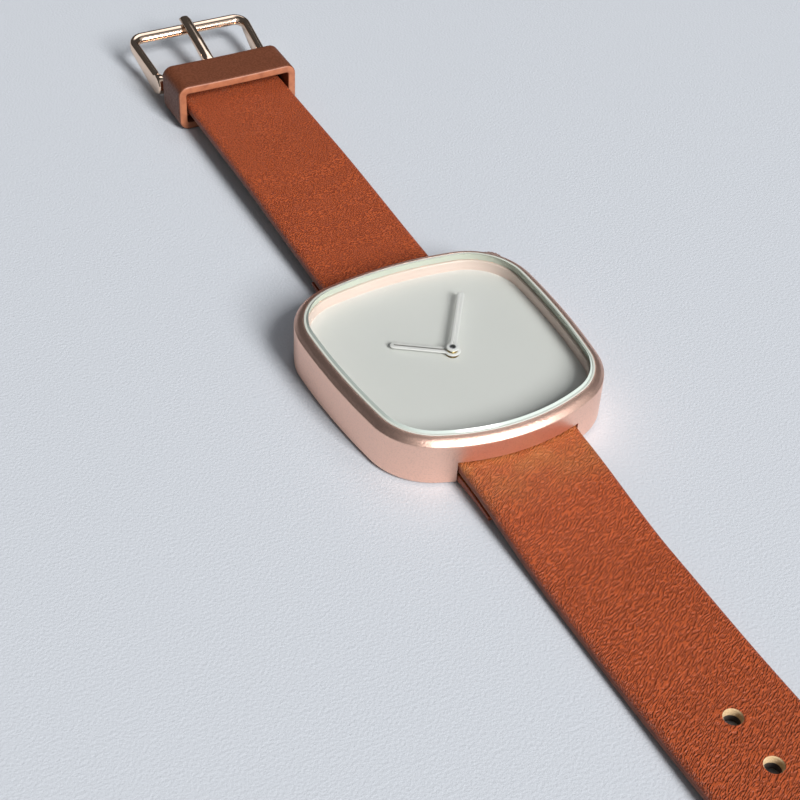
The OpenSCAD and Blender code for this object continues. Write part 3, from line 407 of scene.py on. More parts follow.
# In all three leathers the creases take painted shade. The holed half is also lighter beside the case, partly
# wear and partly painted sheen.
strap_leather = leather("calf_leather_cognac_pebbled", "#CB6030", "#8E3A1C",
                        grain_mm=0.19, depth_mm=0.2, turn=5.0, stretch=0.75)
leather_with_wear_sheen = leather("calf_leather_cognac_creased", "#C25A2E", "#9E4724",
                       depth_mm=0.26, roughness=0.46, wear_and_sheen="#C07C44")
keeper_leather = leather("calf_leather_brown_loop", "#78432B", "#683821",
                         grain_mm=0.35, depth_mm=0.012, roughness=0.5, stretch=1.0)
strap_edge = edge_paint("edge_paint_rosewood", "#96513B", "#7C402D", 0.6)
lining_edge = edge_paint("edge_paint_dark_brown", "#87492F", "#6B3826", 0.6)
keeper_edge = edge_paint("edge_paint_tan", "#AE6D4D", "#965A3F", 0.45)
hole_wall = raw_leather("raw_leather_cut", "#E3C79C", "#B38F63")
# Near black for the lining's cut walls: painted shade for the deep part of each hole.
lining_core_shade = raw_leather("raw_leather_painted_hole_shade", "#3A2B24", "#241A16")
lining = raw_leather("suede_lining_taupe", "#9C7F68", "#7C614D")
print("leathers ready")

# %% [markdown]
# ## Glass, dial and small parts
# The crystal is mineral glass with a ground edge. The dial is brass with a fine matt lacquer,
# pale grey, and the upright ring round it has a warm satin finish. Seals are rubber or pale
# plastic. Inside, the holder is moulded, the board is green lacquered laminate and the coil is
# enamelled copper wire.

# %% Other materials
def lacquer(name, colour, dark, roughness, speck_mm=0.2, strength=0.15, coat=0.0):
    """Paint, lacquer, moulded plastic or ground glass: flat colour that the grain breaks up slightly."""
    material, tree, place = new_material(name)
    speck = add(tree, "TexNoise", {"Scale": per_mm(speck_mm), "Detail": 2.0}, {"Vector": place})
    slow = add(tree, "TexNoise", {"Scale": per_mm(9.0), "Detail": 1.0}, {"Vector": place})
    tint = add(tree, "Mix", {6: linear(dark), 7: linear(colour)}, {0: slow}, data_type="RGBA")
    bump = add(tree, "Bump", {"Strength": strength, "Distance": 0.02 * MM}, {"Height": speck})
    shader = add(tree, "BsdfPrincipled", {"Roughness": roughness, "IOR": 1.47, "Coat Weight": coat},
                 {"Base Color": tint.outputs[2], "Normal": bump})
    add(tree, "OutputMaterial", None, {0: shader})
    return material


def glass(name, colour):
    """Clear mineral glass with a faint tint; the polish is perfect but for a slow unevenness.

    A flat plate bends light in and back out again, which only lifts what lies below by half a
    millimetre. The camera was fitted without that lift, so the body of the glass lets light
    straight through, and a coat with the index of glass, 1.5, gives it the glass's own shine. Rays
    that carry light from matt surfaces are passed through too, or the dial would lie in shade."""
    material, tree, place = new_material(name)
    slow = add(tree, "TexNoise", {"Scale": per_mm(12.0), "Detail": 1.0}, {"Vector": place})
    bump = add(tree, "Bump", {"Strength": 0.02, "Distance": 0.04 * MM}, {"Height": slow})
    shader = add(tree, "BsdfPrincipled",
                 {"Base Color": linear(colour), "Roughness": 0.0, "IOR": 1.0, "Transmission Weight": 1.0,
                  "Coat Weight": 1.0, "Coat Roughness": 0.0, "Coat IOR": 1.5},
                 {"Coat Normal": bump})
    clear = add(tree, "BsdfTransparent", {"Color": (0.93, 0.93, 0.92, 1.0)})
    ray = add(tree, "LightPath").outputs
    straight = add(tree, "Math", None, {0: ray["Is Shadow Ray"], 1: ray["Is Diffuse Ray"]},
                   operation="MAXIMUM")
    both = add(tree, "MixShader", None, {0: straight, 1: shader, 2: clear})
    add(tree, "OutputMaterial", None, {0: both})
    return material


def wound_wire(name, colour, wire_mm=0.08):
    """Enamelled wire in close turns round the coil's axis, which lies along the movement's length."""
    material, tree, place = new_material(name)
    turned = add(tree, "Mapping", {"Rotation": (0.0, 0.0, np.radians(-47.0))}, {"Vector": place})
    turns = add(tree, "TexWave", {"Scale": per_mm(wire_mm) / 20, "Distortion": 0.2}, {"Vector": turned})
    bump = add(tree, "Bump", {"Strength": 0.6, "Distance": 0.04 * MM}, {"Height": turns.outputs["Fac"]})
    shader = add(tree, "BsdfPrincipled", {"Base Color": linear(colour), "Metallic": 0.8, "Roughness": 0.35},
                 {"Normal": bump})
    add(tree, "OutputMaterial", None, {0: shader})
    return material


crystal_glass = glass("mineral_glass", "#FAFBFA")
ground_edge = lacquer("mineral_glass_ground_edge", "#C6CBBE", "#BCC2B3", 0.7)
glass_chamfer = lacquer("mineral_glass_chamfer", "#C9D2CB", "#C2CBC2", 0.12)
dial_lacquer = lacquer("dial_lacquer_pale_grey", "#E9EAE7", "#E4E6E2", 0.6)
rehaut_finish = lacquer("rehaut_lacquer_champagne", "#E6D2C8", "#DDC6BB", 0.4)
hand_finish = lacquer("hand_plating_silver_white", "#F0F0EE", "#E6E6E4", 0.35)
pale_seal = lacquer("moulded_nylon_seal", "#D9DBD2", "#CACDC2", 0.45)
black_rubber = lacquer("nitrile_rubber_black", "#17181A", "#101112", 0.6)
holder_plastic = lacquer("moulded_abs_white", "#DAD9D3", "#CFCEC8", 0.5)
board_laminate = lacquer("glass_laminate_green", "#1F5A3A", "#17462D", 0.35, coat=0.4)
coil_wire = wound_wire("enamelled_copper_wire", "#B5652F")
print("materials:", len(bpy.data.materials))

# %% [markdown]
# ## The case
# The case is one block of metal with a soft square outline, like a pebble: four long arcs joined
# by four equal corner arcs, and not quite the same on each side. Seen from the side the wall is
# upright, turns over a tight round edge and slopes up as a narrow bezel. So one closed skin can
# make it all: a list of level outlines that goes up the wall, over the bezel, down into the seat
# of the glass and the dial, round the cavity of the movement and back along the underside.

# %% Case outline
REACH_3, REACH_12, REACH_9, REACH_6 = 20.0, 21.5, 21.0, 21.9
SIDE_R, END_12_R, END_6_R, CORNER_R = 120.0, 64.0, 34.0, 10.8
FULL_3, FULL_9 = 4.5, 8.5
side_centres = np.array([[REACH_3 - SIDE_R, FULL_3], [0, REACH_12 - END_12_R],
                         [SIDE_R - REACH_9, FULL_9], [0, END_6_R - REACH_6]])
side_radii = np.array([SIDE_R, END_12_R, SIDE_R, END_6_R])


def corner_centre(i):
    """Centre of the circle of radius CORNER_R that touches side arcs i and i + 1 from inside."""
    j = (i + 1) % 4
    a, b = side_centres[i], side_centres[j]
    d1, d2 = side_radii[i] - CORNER_R, side_radii[j] - CORNER_R
    gap = np.linalg.norm(b - a)
    e = (b - a) / gap
    k = (d1 ** 2 - d2 ** 2 + gap ** 2) / (2 * gap)
    return a + k * e + np.sqrt(d1 ** 2 - k ** 2) * np.array([-e[1], e[0]])


corner_centres = np.array([corner_centre(i) for i in range(4)])


def heading_from(centre, point):
    """Angle of the line from a circle's centre through a point."""
    return np.arctan2(point[1] - centre[1], point[0] - centre[0])


def outline(inset, side_points=26, corner_points=30):
    """The case outline moved inwards by inset: every arc keeps its centre and loses inset from its radius."""
    parts = []
    for i in range(4):
        before, after = corner_centres[i - 1], corner_centres[i]
        start = heading_from(side_centres[i], before)
        middle = heading_from(side_centres[i], after)
        end = heading_from(side_centres[(i + 1) % 4], after)
        for centre, radius, first, last, count in (
                (side_centres[i], side_radii[i], start, middle, side_points),
                (after, CORNER_R, middle, end, corner_points)):
            turn = first + (last - first) % (2 * np.pi) * np.arange(count) / count
            parts.append(centre + (radius - inset) * np.stack([np.cos(turn), np.sin(turn)], 1))
    return np.concatenate(parts)


plain = outline(0.0)
heading = np.arctan2(plain[:, 1], plain[:, 0])


def level(inset, z):
    """One ring of the skin: the outline at an inset, at height z."""
    flat = outline(inset)
    return np.column_stack([flat, np.full(len(flat), z)])


def round_level(radius, z):
    """One ring of the skin that is a circle, each point at the heading of the outline's point."""
    return np.column_stack([radius * np.cos(heading), radius * np.sin(heading), np.full(len(heading), z)])


def foot(radius, z, n=6):
    """Rings round the lower edge: a quarter circle from the underside up to the wall."""
    t = np.radians(np.linspace(0, 90, n + 1))
    return [level(radius * (1 - s), z + radius * (1 - c)) for s, c in zip(np.sin(t), np.cos(t))]


def shoulder(radius, corner_z, width, top_z, n=8, bulge=0.13):
    """Rings round the upper edge and up the sloping bezel.

    Wall and slope would meet at height corner_z. The arc between them turns by the angle between
    wall and slope and starts radius * tan(half that angle) below. The slope swells by bulge."""
    turn = np.pi / 2 - np.arctan2(top_z - corner_z, width)
    start = corner_z - radius * np.tan(turn / 2)
    t = np.linspace(0, turn, n + 1)
    arc = np.column_stack([radius * (1 - np.cos(t)), start + radius * np.sin(t)])
    k = np.linspace(0, 1, n + 1)[1:, None]
    slope = arc[-1] + k * (np.array([width, top_z]) - arc[-1])
    slope += bulge * 4 * k * (1 - k) * np.array([-np.cos(turn), np.sin(turn)])
    return [level(inset, z) for inset, z in np.concatenate([arc, slope])]


# %% Case skin
FOOT_Z, FOOT_R, WALL_TOP, BEZEL_TOP, BEZEL_W, SHOULDER_R = 0.3, 0.45, 7.45, 8.4, 1.35, 0.45
GASKET_INSET, CRYSTAL_INSET, OPENING_INSET = 1.5, 1.86, 1.9
CRYSTAL_Z, CRYSTAL_TOP, DIAL_Z, DIAL_TOP = 7.3, 8.7, 5.1, 5.5
CAVITY_R, SEAT_R, SEAT_Z = 14.2, 15.18, 1.1
BREAK = 0.03

rings = foot(FOOT_R, FOOT_Z)
rings += [level(0.0, z) for z in np.linspace(FOOT_Z + FOOT_R, WALL_TOP - 0.3, 9)[1:-1]]
rings += shoulder(SHOULDER_R, WALL_TOP, BEZEL_W, BEZEL_TOP)
rings += [level(GASKET_INSET - BREAK, BEZEL_TOP), level(GASKET_INSET, BEZEL_TOP - BREAK)]
rings += [level(GASKET_INSET, CRYSTAL_Z), level(OPENING_INSET, CRYSTAL_Z), level(OPENING_INSET, DIAL_Z)]
rings += [round_level(CAVITY_R, DIAL_Z), round_level(CAVITY_R, SEAT_Z)]
rings += [round_level(SEAT_R, SEAT_Z), round_level(SEAT_R, FOOT_Z)]
case = make_piece("case_skin", np.array(rings), [case_steel], ring_rows=True)

# %% [markdown]
# The straps and the crown need openings. Each is cut out of the finished skin with a Boolean
# modifier, the way a milling cutter would do it: a block under each end for the strap, a
# round bore for each bar pin, and one for the crown tube through the corner.

# %% Cut the openings
BAR_Y, BAR_Z, LOOP_R, RECESS_W, RECESS_TOP = 18.5, 2.15, 1.85, 20.2, 4.3
PIN_R, PIN_REACH, TUBE_R = 0.45, 11.2, 1.0
OUTSIDE = 26.0
STEM_Z, CROWN_ANGLE = 3.4, np.radians(47.0)
crown_dir = np.array([np.cos(CROWN_ANGLE), np.sin(CROWN_ANGLE), 0.0])
crown_side = np.array([-np.sin(CROWN_ANGLE), np.cos(CROWN_ANGLE), 0.0])
X_AXIS, Y_AXIS, Z_AXIS = np.eye(3)


def ring_about(axis_point, axis, side, stations, radii, turns=48):
    """Surface of revolution: radii[i] at distance stations[i] along the axis, side at turning angle 0."""
    turn = np.linspace(0, 2 * np.pi, turns, endpoint=False)
    spoke = np.cos(turn)[:, None] * side + np.sin(turn)[:, None] * np.cross(axis, side)
    stations, radii = np.asarray(stations, float), np.asarray(radii, float)
    return np.asarray(axis_point, float) + stations[:, None, None] * axis + radii[:, None, None] * spoke


def cutter_rod(name, axis_point, axis, side, start, end, radius, turns=48):
    points = ring_about(axis_point, axis, side, [start, end], [radius, radius], turns)
    return make_piece(name, points, [], capped=True)


def cutter_block(name, low, high, rounding=0.0):
    """A block between two corners, as a rounded section carried along Y."""
    low, high = np.asarray(low, float), np.asarray(high, float)
    mid, half = (low + high) / 2, (high - low) / 2
    path = np.array([[mid[0], low[1], mid[2]], [mid[0], high[1], mid[2]]])
    points = band(path, half[0], 2 * half[2], rounding, rounding, flat=1, corner=4)
    return make_piece(name, points, [], capped=True)


cutters = []
for side in (1, -1):
    low_y, high_y = sorted((side * (BAR_Y - LOOP_R - 0.15), side * OUTSIDE))
    cutters.append(cutter_block("recess_cutter", (-RECESS_W / 2, low_y, -1.0),
                                (RECESS_W / 2, high_y, RECESS_TOP), rounding=0.12))
    cutters.append(cutter_rod("pin_cutter", (0, side * BAR_Y, BAR_Z), X_AXIS, Y_AXIS,
                              -PIN_REACH, PIN_REACH, PIN_R))
cutters.append(cutter_rod("crown_cutter", (0, 0, STEM_Z), crown_dir, crown_side,
                          CAVITY_R - 1.0, OUTSIDE + 1.0, TUBE_R))
carve(case, cutters, crisp=30.0)
dress(case, "case_body", "case")

# %% [markdown]
# ## Crystal, seal and inner ring
# The glass is a thick flat plate that follows the outline and stands a little proud of the
# bezel, with a polished chamfer round its top edge. A thin pale seal grips it. Below it a ring
# lines the gap down to the dial. All three are stacks of the same level outlines.

# %% Crystal
def plate(rings_up, name, materials, side_rows):
    """Closes a stack of rings above and below with rings that shrink to the middle.

    side_rows gives rows of faces, counted up the stack, a slot other than the first."""
    shrink = (0.66, 0.33, 0.0)
    low = [rings_up[0] * [k, k, 1] for k in shrink[::-1]]
    high = [rings_up[-1] * [k, k, 1] for k in shrink]
    rows = np.array(low + rings_up + high)
    slots = np.zeros((len(rows) - 1, rows.shape[1]), np.int32)
    for row, slot in side_rows.items():
        slots[len(low) + row] = slot
    return make_piece(name, rows, materials, slots=slots, weld=0.001, crisp=30.0)


CHAMFER, LOW_CHAMFER, SEAL_PROUD = 0.35, 0.05, 0.05
crystal = plate([level(CRYSTAL_INSET + LOW_CHAMFER, CRYSTAL_Z + 0.03), level(CRYSTAL_INSET, CRYSTAL_Z + 0.08),
                 level(CRYSTAL_INSET, CRYSTAL_TOP - CHAMFER), level(CRYSTAL_INSET + CHAMFER, CRYSTAL_TOP)],
                "crystal_plate", [crystal_glass, ground_edge, glass_chamfer], {0: 1, 1: 1, 2: 2})
dress(crystal, "case_body", "crystal")

SEAL_OUT, SEAL_IN = GASKET_INSET + 0.01, CRYSTAL_INSET - 0.01
seal_rings = [level(SEAL_OUT, CRYSTAL_Z), level(SEAL_OUT, BEZEL_TOP),
              level(SEAL_OUT + SEAL_PROUD, BEZEL_TOP + SEAL_PROUD),
              level(SEAL_IN - SEAL_PROUD, BEZEL_TOP + SEAL_PROUD),
              level(SEAL_IN, BEZEL_TOP), level(SEAL_IN, CRYSTAL_Z)]
seal = make_piece("crystal_seal", np.array(seal_rings), [pale_seal], ring_rows=True)
dress(seal, "case_body", "crystal_gasket")

REHAUT_INSET, REHAUT_T, REHAUT_BREAK = 1.95, 0.35, 0.12
rehaut_rings = [level(REHAUT_INSET, DIAL_TOP), level(REHAUT_INSET, CRYSTAL_Z),
                level(REHAUT_INSET + REHAUT_T - REHAUT_BREAK, CRYSTAL_Z),
                level(REHAUT_INSET + REHAUT_T, CRYSTAL_Z - REHAUT_BREAK),
                level(REHAUT_INSET + REHAUT_T, DIAL_TOP)]
rehaut = make_piece("rehaut_lining", np.array(rehaut_rings), [rehaut_finish], ring_rows=True)
dress(rehaut, "case_body", "rehaut_ring")

# %% [markdown]
# ## Case back
# The back is turned on a lathe and snaps in. A lathe makes surfaces of revolution, so its
# profile is a short list of radius and height, with a shallow step near the rim and a small
# notch where a case knife goes in.

# %% Case back
BACK_R, BACK_T, LIP_TOP, LIP_OUT, LIP_IN = 15.1, 0.8, 1.15, 14.12, 13.32
NOTCH_W, NOTCH_Z = 2.4, 0.25
back_profile = np.array([
    (0.0, 0.0), (10.2, 0.0), (10.35, 0.03), (10.5, 0.1), (11.0, 0.1), (11.15, 0.03), (11.3, 0.0), (14.6, 0.0),
    (14.92, 0.05), (15.05, 0.18), (BACK_R, 0.35), (BACK_R, BACK_T), (LIP_OUT, BACK_T),
    (LIP_OUT, LIP_TOP - 0.05), (14.05, LIP_TOP), (13.4, LIP_TOP), (LIP_IN, LIP_TOP - 0.05),
    (LIP_IN, BACK_T), (0.0, BACK_T)])
points = ring_about((0, 0, 0), Z_AXIS, X_AXIS, back_profile[:, 1], back_profile[:, 0], 160)
back = make_piece("case_back_turned", points, [back_steel], weld=0.001, crisp=25.0)
carve(back, [cutter_block("notch_cutter", (-NOTCH_W / 2, -BACK_R - 0.4, NOTCH_Z),
                          (NOTCH_W / 2, -BACK_R + 0.5, BACK_T + 0.1))], crisp=25.0)
dress(back, "case_body", "case_back")

# %% [markdown]
# ## Crown
# The crown sits at the corner and has a straight knurl: teeth with rounded tips, milled along
# its length. The radius depends on two things, the place along the axis and the angle, so the
# whole crown is one grid: a smooth lathe profile, less a rounded groove that repeats with the
# angle and fades out towards both ends.

# %% Crown
CROWN_R, CROWN_LEN, CROWN_GAP, KNURLS, KNURL_DEPTH = 3.0, 2.2, 0.25, 28, 0.17
BORE_R, WELL_R, WELL_DEPTH, LOW_ROUND, HIGH_ROUND = 0.40, 1.55, 1.4, 0.35, 0.55
corner_3 = corner_centres[0]
toward_corner = crown_dir[:2] @ corner_3
wall_reach = toward_corner + np.sqrt(toward_corner ** 2 - corner_3 @ corner_3 + CORNER_R ** 2)
crown_x = wall_reach + CROWN_GAP
# Each entry of the profile is (radius, place along the axis, share of the knurl's depth).
profile = [(BORE_R, WELL_DEPTH, 0), (WELL_R, WELL_DEPTH, 0), (WELL_R, 0.0, 0), (CROWN_R - LOW_ROUND, 0.0, 0)]
profile += [(CROWN_R - LOW_ROUND + LOW_ROUND * np.sin(t), 0.3 - 0.3 * np.cos(t), np.sin(t) ** 2)
            for t in np.radians([20, 40, 60, 80, 90])]
profile += [(CROWN_R, x, 1) for x in (0.6, 1.0, 1.4)]
profile += [(CROWN_R - HIGH_ROUND + HIGH_ROUND * np.cos(t), CROWN_LEN - HIGH_ROUND + HIGH_ROUND * np.sin(t),
             np.cos(t) ** 2) for t in np.radians([0, 15, 30, 45, 60, 75, 90])]
profile += [(1.6, CROWN_LEN + 0.03, 0), (0.8, CROWN_LEN + 0.05, 0), (0.0, CROWN_LEN + 0.055, 0)]
profile += [(0.0, CROWN_LEN - 0.35, 0), (BORE_R, CROWN_LEN - 0.35, 0)]
radius, station, share = np.array(profile).T
turn_count = KNURLS * 10
stem_point = np.array([0, 0, STEM_Z])
surface = ring_about(stem_point, crown_dir, crown_side, crown_x + station, radius, turn_count)
phase = np.cos(np.linspace(0, 2 * np.pi, turn_count, endpoint=False) * KNURLS)
groove = KNURL_DEPTH * share[:, None] * np.clip(0.25 - phase, 0, 1)[None, :] ** 0.7
spoke = surface - (stem_point + (crown_x + station)[:, None] * crown_dir)[:, None, :]
length = np.maximum(np.linalg.norm(spoke, axis=2, keepdims=True), 1e-9)
crown = make_piece("crown_knurled", surface - spoke / length * groove[..., None], [case_steel],
                   ring_rows=True, weld=0.001, crisp=50.0)
dress(crown, "crown_body", "crown")

# %% [markdown]
# ## Hands
# Each hand is stamped from thin metal: a bar with a round end on a ring that is pressed on its
# pipe. Its edges are rolled, which is what catches the light as two thin lines. The outline is
# walked once round, and the surface is drawn between the outline and the middle line of the
# bar, or the bore of the ring.

# %% Hands
HUB_POINTS, BAR_POINTS, END_POINTS = 56, 25, 15


def hand_surface(length, width, hub_r, bore_r, z, thick, heading_deg, bevel=0.14):
    """Rows from the inner line, under the hand, round its edge and back over the top to the inner line.

    The outer curve is the hub's arc, then the bar's edge and its round end. The inner curve is the
    bore's circle while the outer one is on the hub, and the bar's middle line otherwise."""
    half = width / 2
    open_angle = np.arcsin(half / hub_r)
    arc = np.linspace(open_angle, 2 * np.pi - open_angle, HUB_POINTS)
    bar = np.linspace(hub_r * np.cos(open_angle), length - half, BAR_POINTS + 1)[1:]
    end = np.linspace(-np.pi / 2, np.pi / 2, END_POINTS + 2)[1:-1]
    hub, tip = np.stack([np.cos(arc), np.sin(arc)], 1), np.array([length - half, 0.0])
    edge_line = np.full(BAR_POINTS, half)
    spine = np.stack([np.maximum(bar, bore_r), np.zeros(BAR_POINTS)], 1)
    outer = np.concatenate([hub_r * hub, np.stack([bar, -edge_line], 1),
                            tip + half * np.stack([np.cos(end), np.sin(end)], 1),
                            np.stack([bar[::-1], edge_line], 1)])
    inner = np.concatenate([bore_r * hub, spine, np.tile(tip, (END_POINTS, 1)), spine[::-1]])
    inward = inner - outer
    step = (bevel / np.maximum(np.linalg.norm(inward, axis=1), bevel * 1.5))[:, None]
    rows = [(inner, 0.0), (outer + inward * 0.02, 0.0), (outer, 0.03), (outer, thick * 0.55),
            (outer + inward * step * 0.35, thick * 0.85), (outer + inward * step, thick),
            (outer + inward * 0.75, thick), (inner, thick)]
    c, s = np.cos(np.radians(heading_deg)), np.sin(np.radians(heading_deg))
    turn = np.array([[c, s], [-s, c]])
    return np.array([np.column_stack([line @ turn, np.full(len(line), z + h)]) for line, h in rows])


SHOWN_MINUTES = 5.7
minute_heading, hour_heading = 90 - 6 * SHOWN_MINUTES, 90 - 300 - SHOWN_MINUTES / 2
for name, body, node, *spec in (
        ("minute_hand_stamped", "minute_body", "minute_hand", 13.9, 1.1, 1.0, 0.5, 6.72, 0.18, minute_heading),
        ("hour_hand_stamped", "hour_body", "hour_hand", 9.6, 1.4, 1.25, 0.8, 6.0, 0.18, hour_heading)):
    hand = make_piece(name, hand_surface(*spec), [hand_finish], weld=0.001, crisp=40.0, ring_rows=True)
    dress(hand, body, node)

# %% [markdown]
# ## The strap's course
# Each half of the strap starts as a folded tail under the case, turns round its spring bar and
# runs out along the table. Heights were read off the outline: the buckle half rises into its
# keeper, and the holed half comes down to the table, lifts in a low hump and comes down again.

# %% Strap heights
UPPER_T, LINING_T, TAIL_T, TAIL_LEN = 1.1, 1.1, 0.8, 10.7
STRAP_T = UPPER_T + LINING_T
STRAP_END, BUCKLE_BAR_Y, STRAP_12_TOP = 134.0, 95.2, 5.1
DOWN_Y, HUMP_Y0, HUMP_Y1, HUMP_H = 46.0, 60.0, STRAP_END - 4, 1.1
TOP_CASE = BAR_Z + LOOP_R
BUCKLE_Z = STRAP_12_TOP - LOOP_R
KEEPER_LEN, KEEPER_T, KEEPER_SPACE, KEEPER_TRAVEL = 8.6, 1.5, 5.9, 20.0
KEEPER_Y1 = BUCKLE_BAR_Y - LOOP_R - 1.7
KEEPER_Y0 = KEEPER_Y1 - KEEPER_LEN
LEVEL_Y = KEEPER_Y0 - KEEPER_TRAVEL - 1
W_CASE, W_TIP, STRAP_START = 19.9, 19.0, 16.45
TIP_R = W_TIP / 2
TIP_FROM = STRAP_END - TIP_R


def top_12(y):
    """Height of the buckle half's upper face."""
    return TOP_CASE + (STRAP_12_TOP - TOP_CASE) * smooth((y - BAR_Y - 4) / (LEVEL_Y - BAR_Y - 4))


def top_6(y):
    """Height of the holed half's upper face, at distance y from the hands' axis."""
    drop = (TOP_CASE - STRAP_T) * (1 - smooth((y - BAR_Y - 3) / (DOWN_Y - BAR_Y - 3)))
    along_hump = np.clip((y - HUMP_Y0) / (HUMP_Y1 - HUMP_Y0), 0, 1)
    return STRAP_T + drop + HUMP_H * np.sin(np.pi * along_hump) ** 2


def half_12(y):
    """Half width of the buckle half, the same from the case to the buckle."""
    return np.full(len(y), W_CASE / 2)


def half_6(y):
    """Half width of the holed half up to its round tip."""
    return W_CASE / 2 + (TIP_R - W_CASE / 2) * np.clip((y - STRAP_START) / (TIP_FROM - STRAP_START), 0, 1)


# %% [markdown]
# The upper leather is one long piece: along the strap, half round the bar and back underneath.
# Its course is a list of side-view points with a thickness: full on top, a little less round
# the bar, pared thin where the tail ends.

# %% Upper leather's course
LOOP_T = LOOP_R - 0.8
TAIL_POINTS, TURN_POINTS, RUN_12_POINTS, LINING_12_POINTS, RUN_STEP = 24, 24, 154, 146, 0.5


def tail(bar_y, bar_z, way, top):
    """The folded tail: starts under the bar, fills the wedge below the strap and ends pared thin."""
    run = np.linspace(0, TAIL_LEN, TAIL_POINTS)
    y = bar_y + way * run
    t = np.clip((run - LOOP_R) / (TAIL_LEN - LOOP_R), 0, 1)
    under = top(y) - STRAP_T - 0.02
    settle, rise = smooth(run / LOOP_R), smooth(run / 3.0)
    low = (bar_z - LOOP_R + 0.12 * settle) * (1 - t) + (under - TAIL_T) * t
    high = (bar_z - LOOP_R + LOOP_T) * (1 - rise) + under * rise
    return np.column_stack([y, (low + high) / 2, high - low])


def half_turn(bar_y, bar_z, start, end):
    """The loop round a bar, as points on the middle line of the leather."""
    turn = np.radians(np.linspace(start, end, TURN_POINTS + 2)[1:-1])
    r = LOOP_R - LOOP_T / 2
    return np.column_stack([bar_y + r * np.cos(turn), bar_z + r * np.sin(turn), np.full(len(turn), LOOP_T)])


def upper_line(y, top, loops):
    """The leather's upper run: it is thinner within 2 mm of a loop's bar."""
    ease = np.min([smooth(np.abs(y - bar) / 2.0) for bar in loops], axis=0)
    thick = LOOP_T + (UPPER_T - LOOP_T) * ease
    return np.column_stack([y, top(y) - thick / 2, thick])


y_6 = np.arange(BAR_Y, STRAP_END + 0.01, RUN_STEP)
line_6 = np.concatenate([tail(BAR_Y, BAR_Z, 1, top_6)[::-1], half_turn(BAR_Y, BAR_Z, 270, 90),
                         upper_line(y_6, top_6, [BAR_Y])])
y_12 = np.linspace(BAR_Y, BUCKLE_BAR_Y, RUN_12_POINTS)
line_12 = np.concatenate([tail(BAR_Y, BAR_Z, 1, top_12)[::-1], half_turn(BAR_Y, BAR_Z, 270, 90),
                          upper_line(y_12, top_12, [BAR_Y, BUCKLE_BAR_Y]),
                          half_turn(BUCKLE_BAR_Y, BUCKLE_Z, 90, -90), tail(BUCKLE_BAR_Y, BUCKLE_Z, -1, top_12)])
print("stations along the halves:", len(line_12), len(line_6))

# %% [markdown]
# A strap is cut flat and then bent, so its surface is made the same way. First the flat
# pattern: points across, along and through the leather, with rounded edges that also follow the
# round tip. Then every point is carried to its place on the course, the middle line for the
# "along" and the line's own normal for the "through".

# %% Bend a flat pattern
FLAT, CORNER, TIP_POINTS = 22, 7, 30
SWELL_FROM, SWELL_OVER = 22.0, 4.0


def bent_strip(line, half, way, edge_top, edge_bottom, tip_from=None, rise=0.0):
    """Surface of a strip of leather. line holds side-view points (y, z, thickness) in order.

    Flat pattern: across x = a (w - r) + r c and through h = b (t / 2 - r) + r s for every point of
    the section. At the tip the same x is laid off along a radius of the tip's circle. Outside the
    case the leather swells by rise (1 - (x / w)^2)^2; inside its slot, up to SWELL_FROM from the
    hands' axis, it stays flat."""
    run = run_along(line[:, :2])
    along = np.gradient(line[:, :2], axis=0)
    along /= np.linalg.norm(along, axis=1)[:, None]
    normal = np.column_stack([-along[:, 1], along[:, 0]])
    centre, angle, width = run, np.zeros(len(run)), half(line[:, 0])
    if tip_from is not None:
        outward = np.arange(len(run)) >= len(run) // 3
        keep = (line[:, 0] < tip_from) | ~outward
        s_tip = np.interp(tip_from, line[outward, 0], run[outward])
        centre = np.concatenate([run[keep], np.full(TIP_POINTS, s_tip)])
        angle = np.concatenate([angle[keep], np.radians(np.linspace(0, 90, TIP_POINTS))])
        width = np.concatenate([width[keep], np.full(TIP_POINTS, TIP_R)])
    thick = np.interp(centre, run, line[:, 2])[:, None]
    width, angle, centre = width[:, None], angle[:, None], centre[:, None]
    a, b, c, s = section(FLAT, CORNER)
    top_r = np.minimum(edge_top(centre) if callable(edge_top) else edge_top, thick - edge_bottom)
    r = np.where(b > 0, top_r, edge_bottom)
    x = a * (width - r) + r * c
    swell = rise * smooth((np.interp(centre, run, line[:, 0]) - SWELL_FROM) / SWELL_OVER)
    h = b * (thick / 2 - r) + r * s + swell * (b > 0) * np.clip(1 - (x / width) ** 2, 0, 1) ** 2
    flat_x = x * np.cos(angle)
    flat_s = centre + np.abs(x) * np.sin(angle)
    y, z, ny, nz = (np.interp(flat_s, run, column) for column in (*line.T[:2], *normal.T))
    return np.stack([-way * flat_x, way * (y + h * ny), z + h * nz], -1)


def strap_piece(name, body, node, points, from_deg, materials, cutters):
    """One leather. Its sides take slot 1, and the walls of what is cut out of it the raw slot 2."""
    for mesh in (cutter.data for cutter in cutters):
        for material in materials:
            mesh.materials.append(material)
        mesh.polygons.foreach_set("material_index", np.full(len(mesh.polygons), 2, np.int32))
    slots = side_slots(len(points), FLAT, CORNER, from_deg)
    piece = make_piece(name, points, materials, slots=slots, capped=True, crisp=60.0, weld=0.0008)
    carve(piece, cutters, crisp=60.0)
    dress(piece, body, node)


# %% [markdown]
# The holes and the slot for the tang are punched after the leather is bonded, so they go
# straight through both layers: the upper shows its pale core, and the lining's cut walls are near
# black, painted shade for the deep part of each hole. A punched hole pulls the grain down a little
# at its rim, which the cutters copy with a short flare.

# %% Strap pieces
HOLE_FIRST, HOLE_PITCH, HOLE_COUNT, HOLE_R = 73.0, 8.2, 6, 1.2
TANG_SLOT_HALF = 1.45
TOP_EDGE_R, TAIL_EDGE_R = 1.0, 0.3


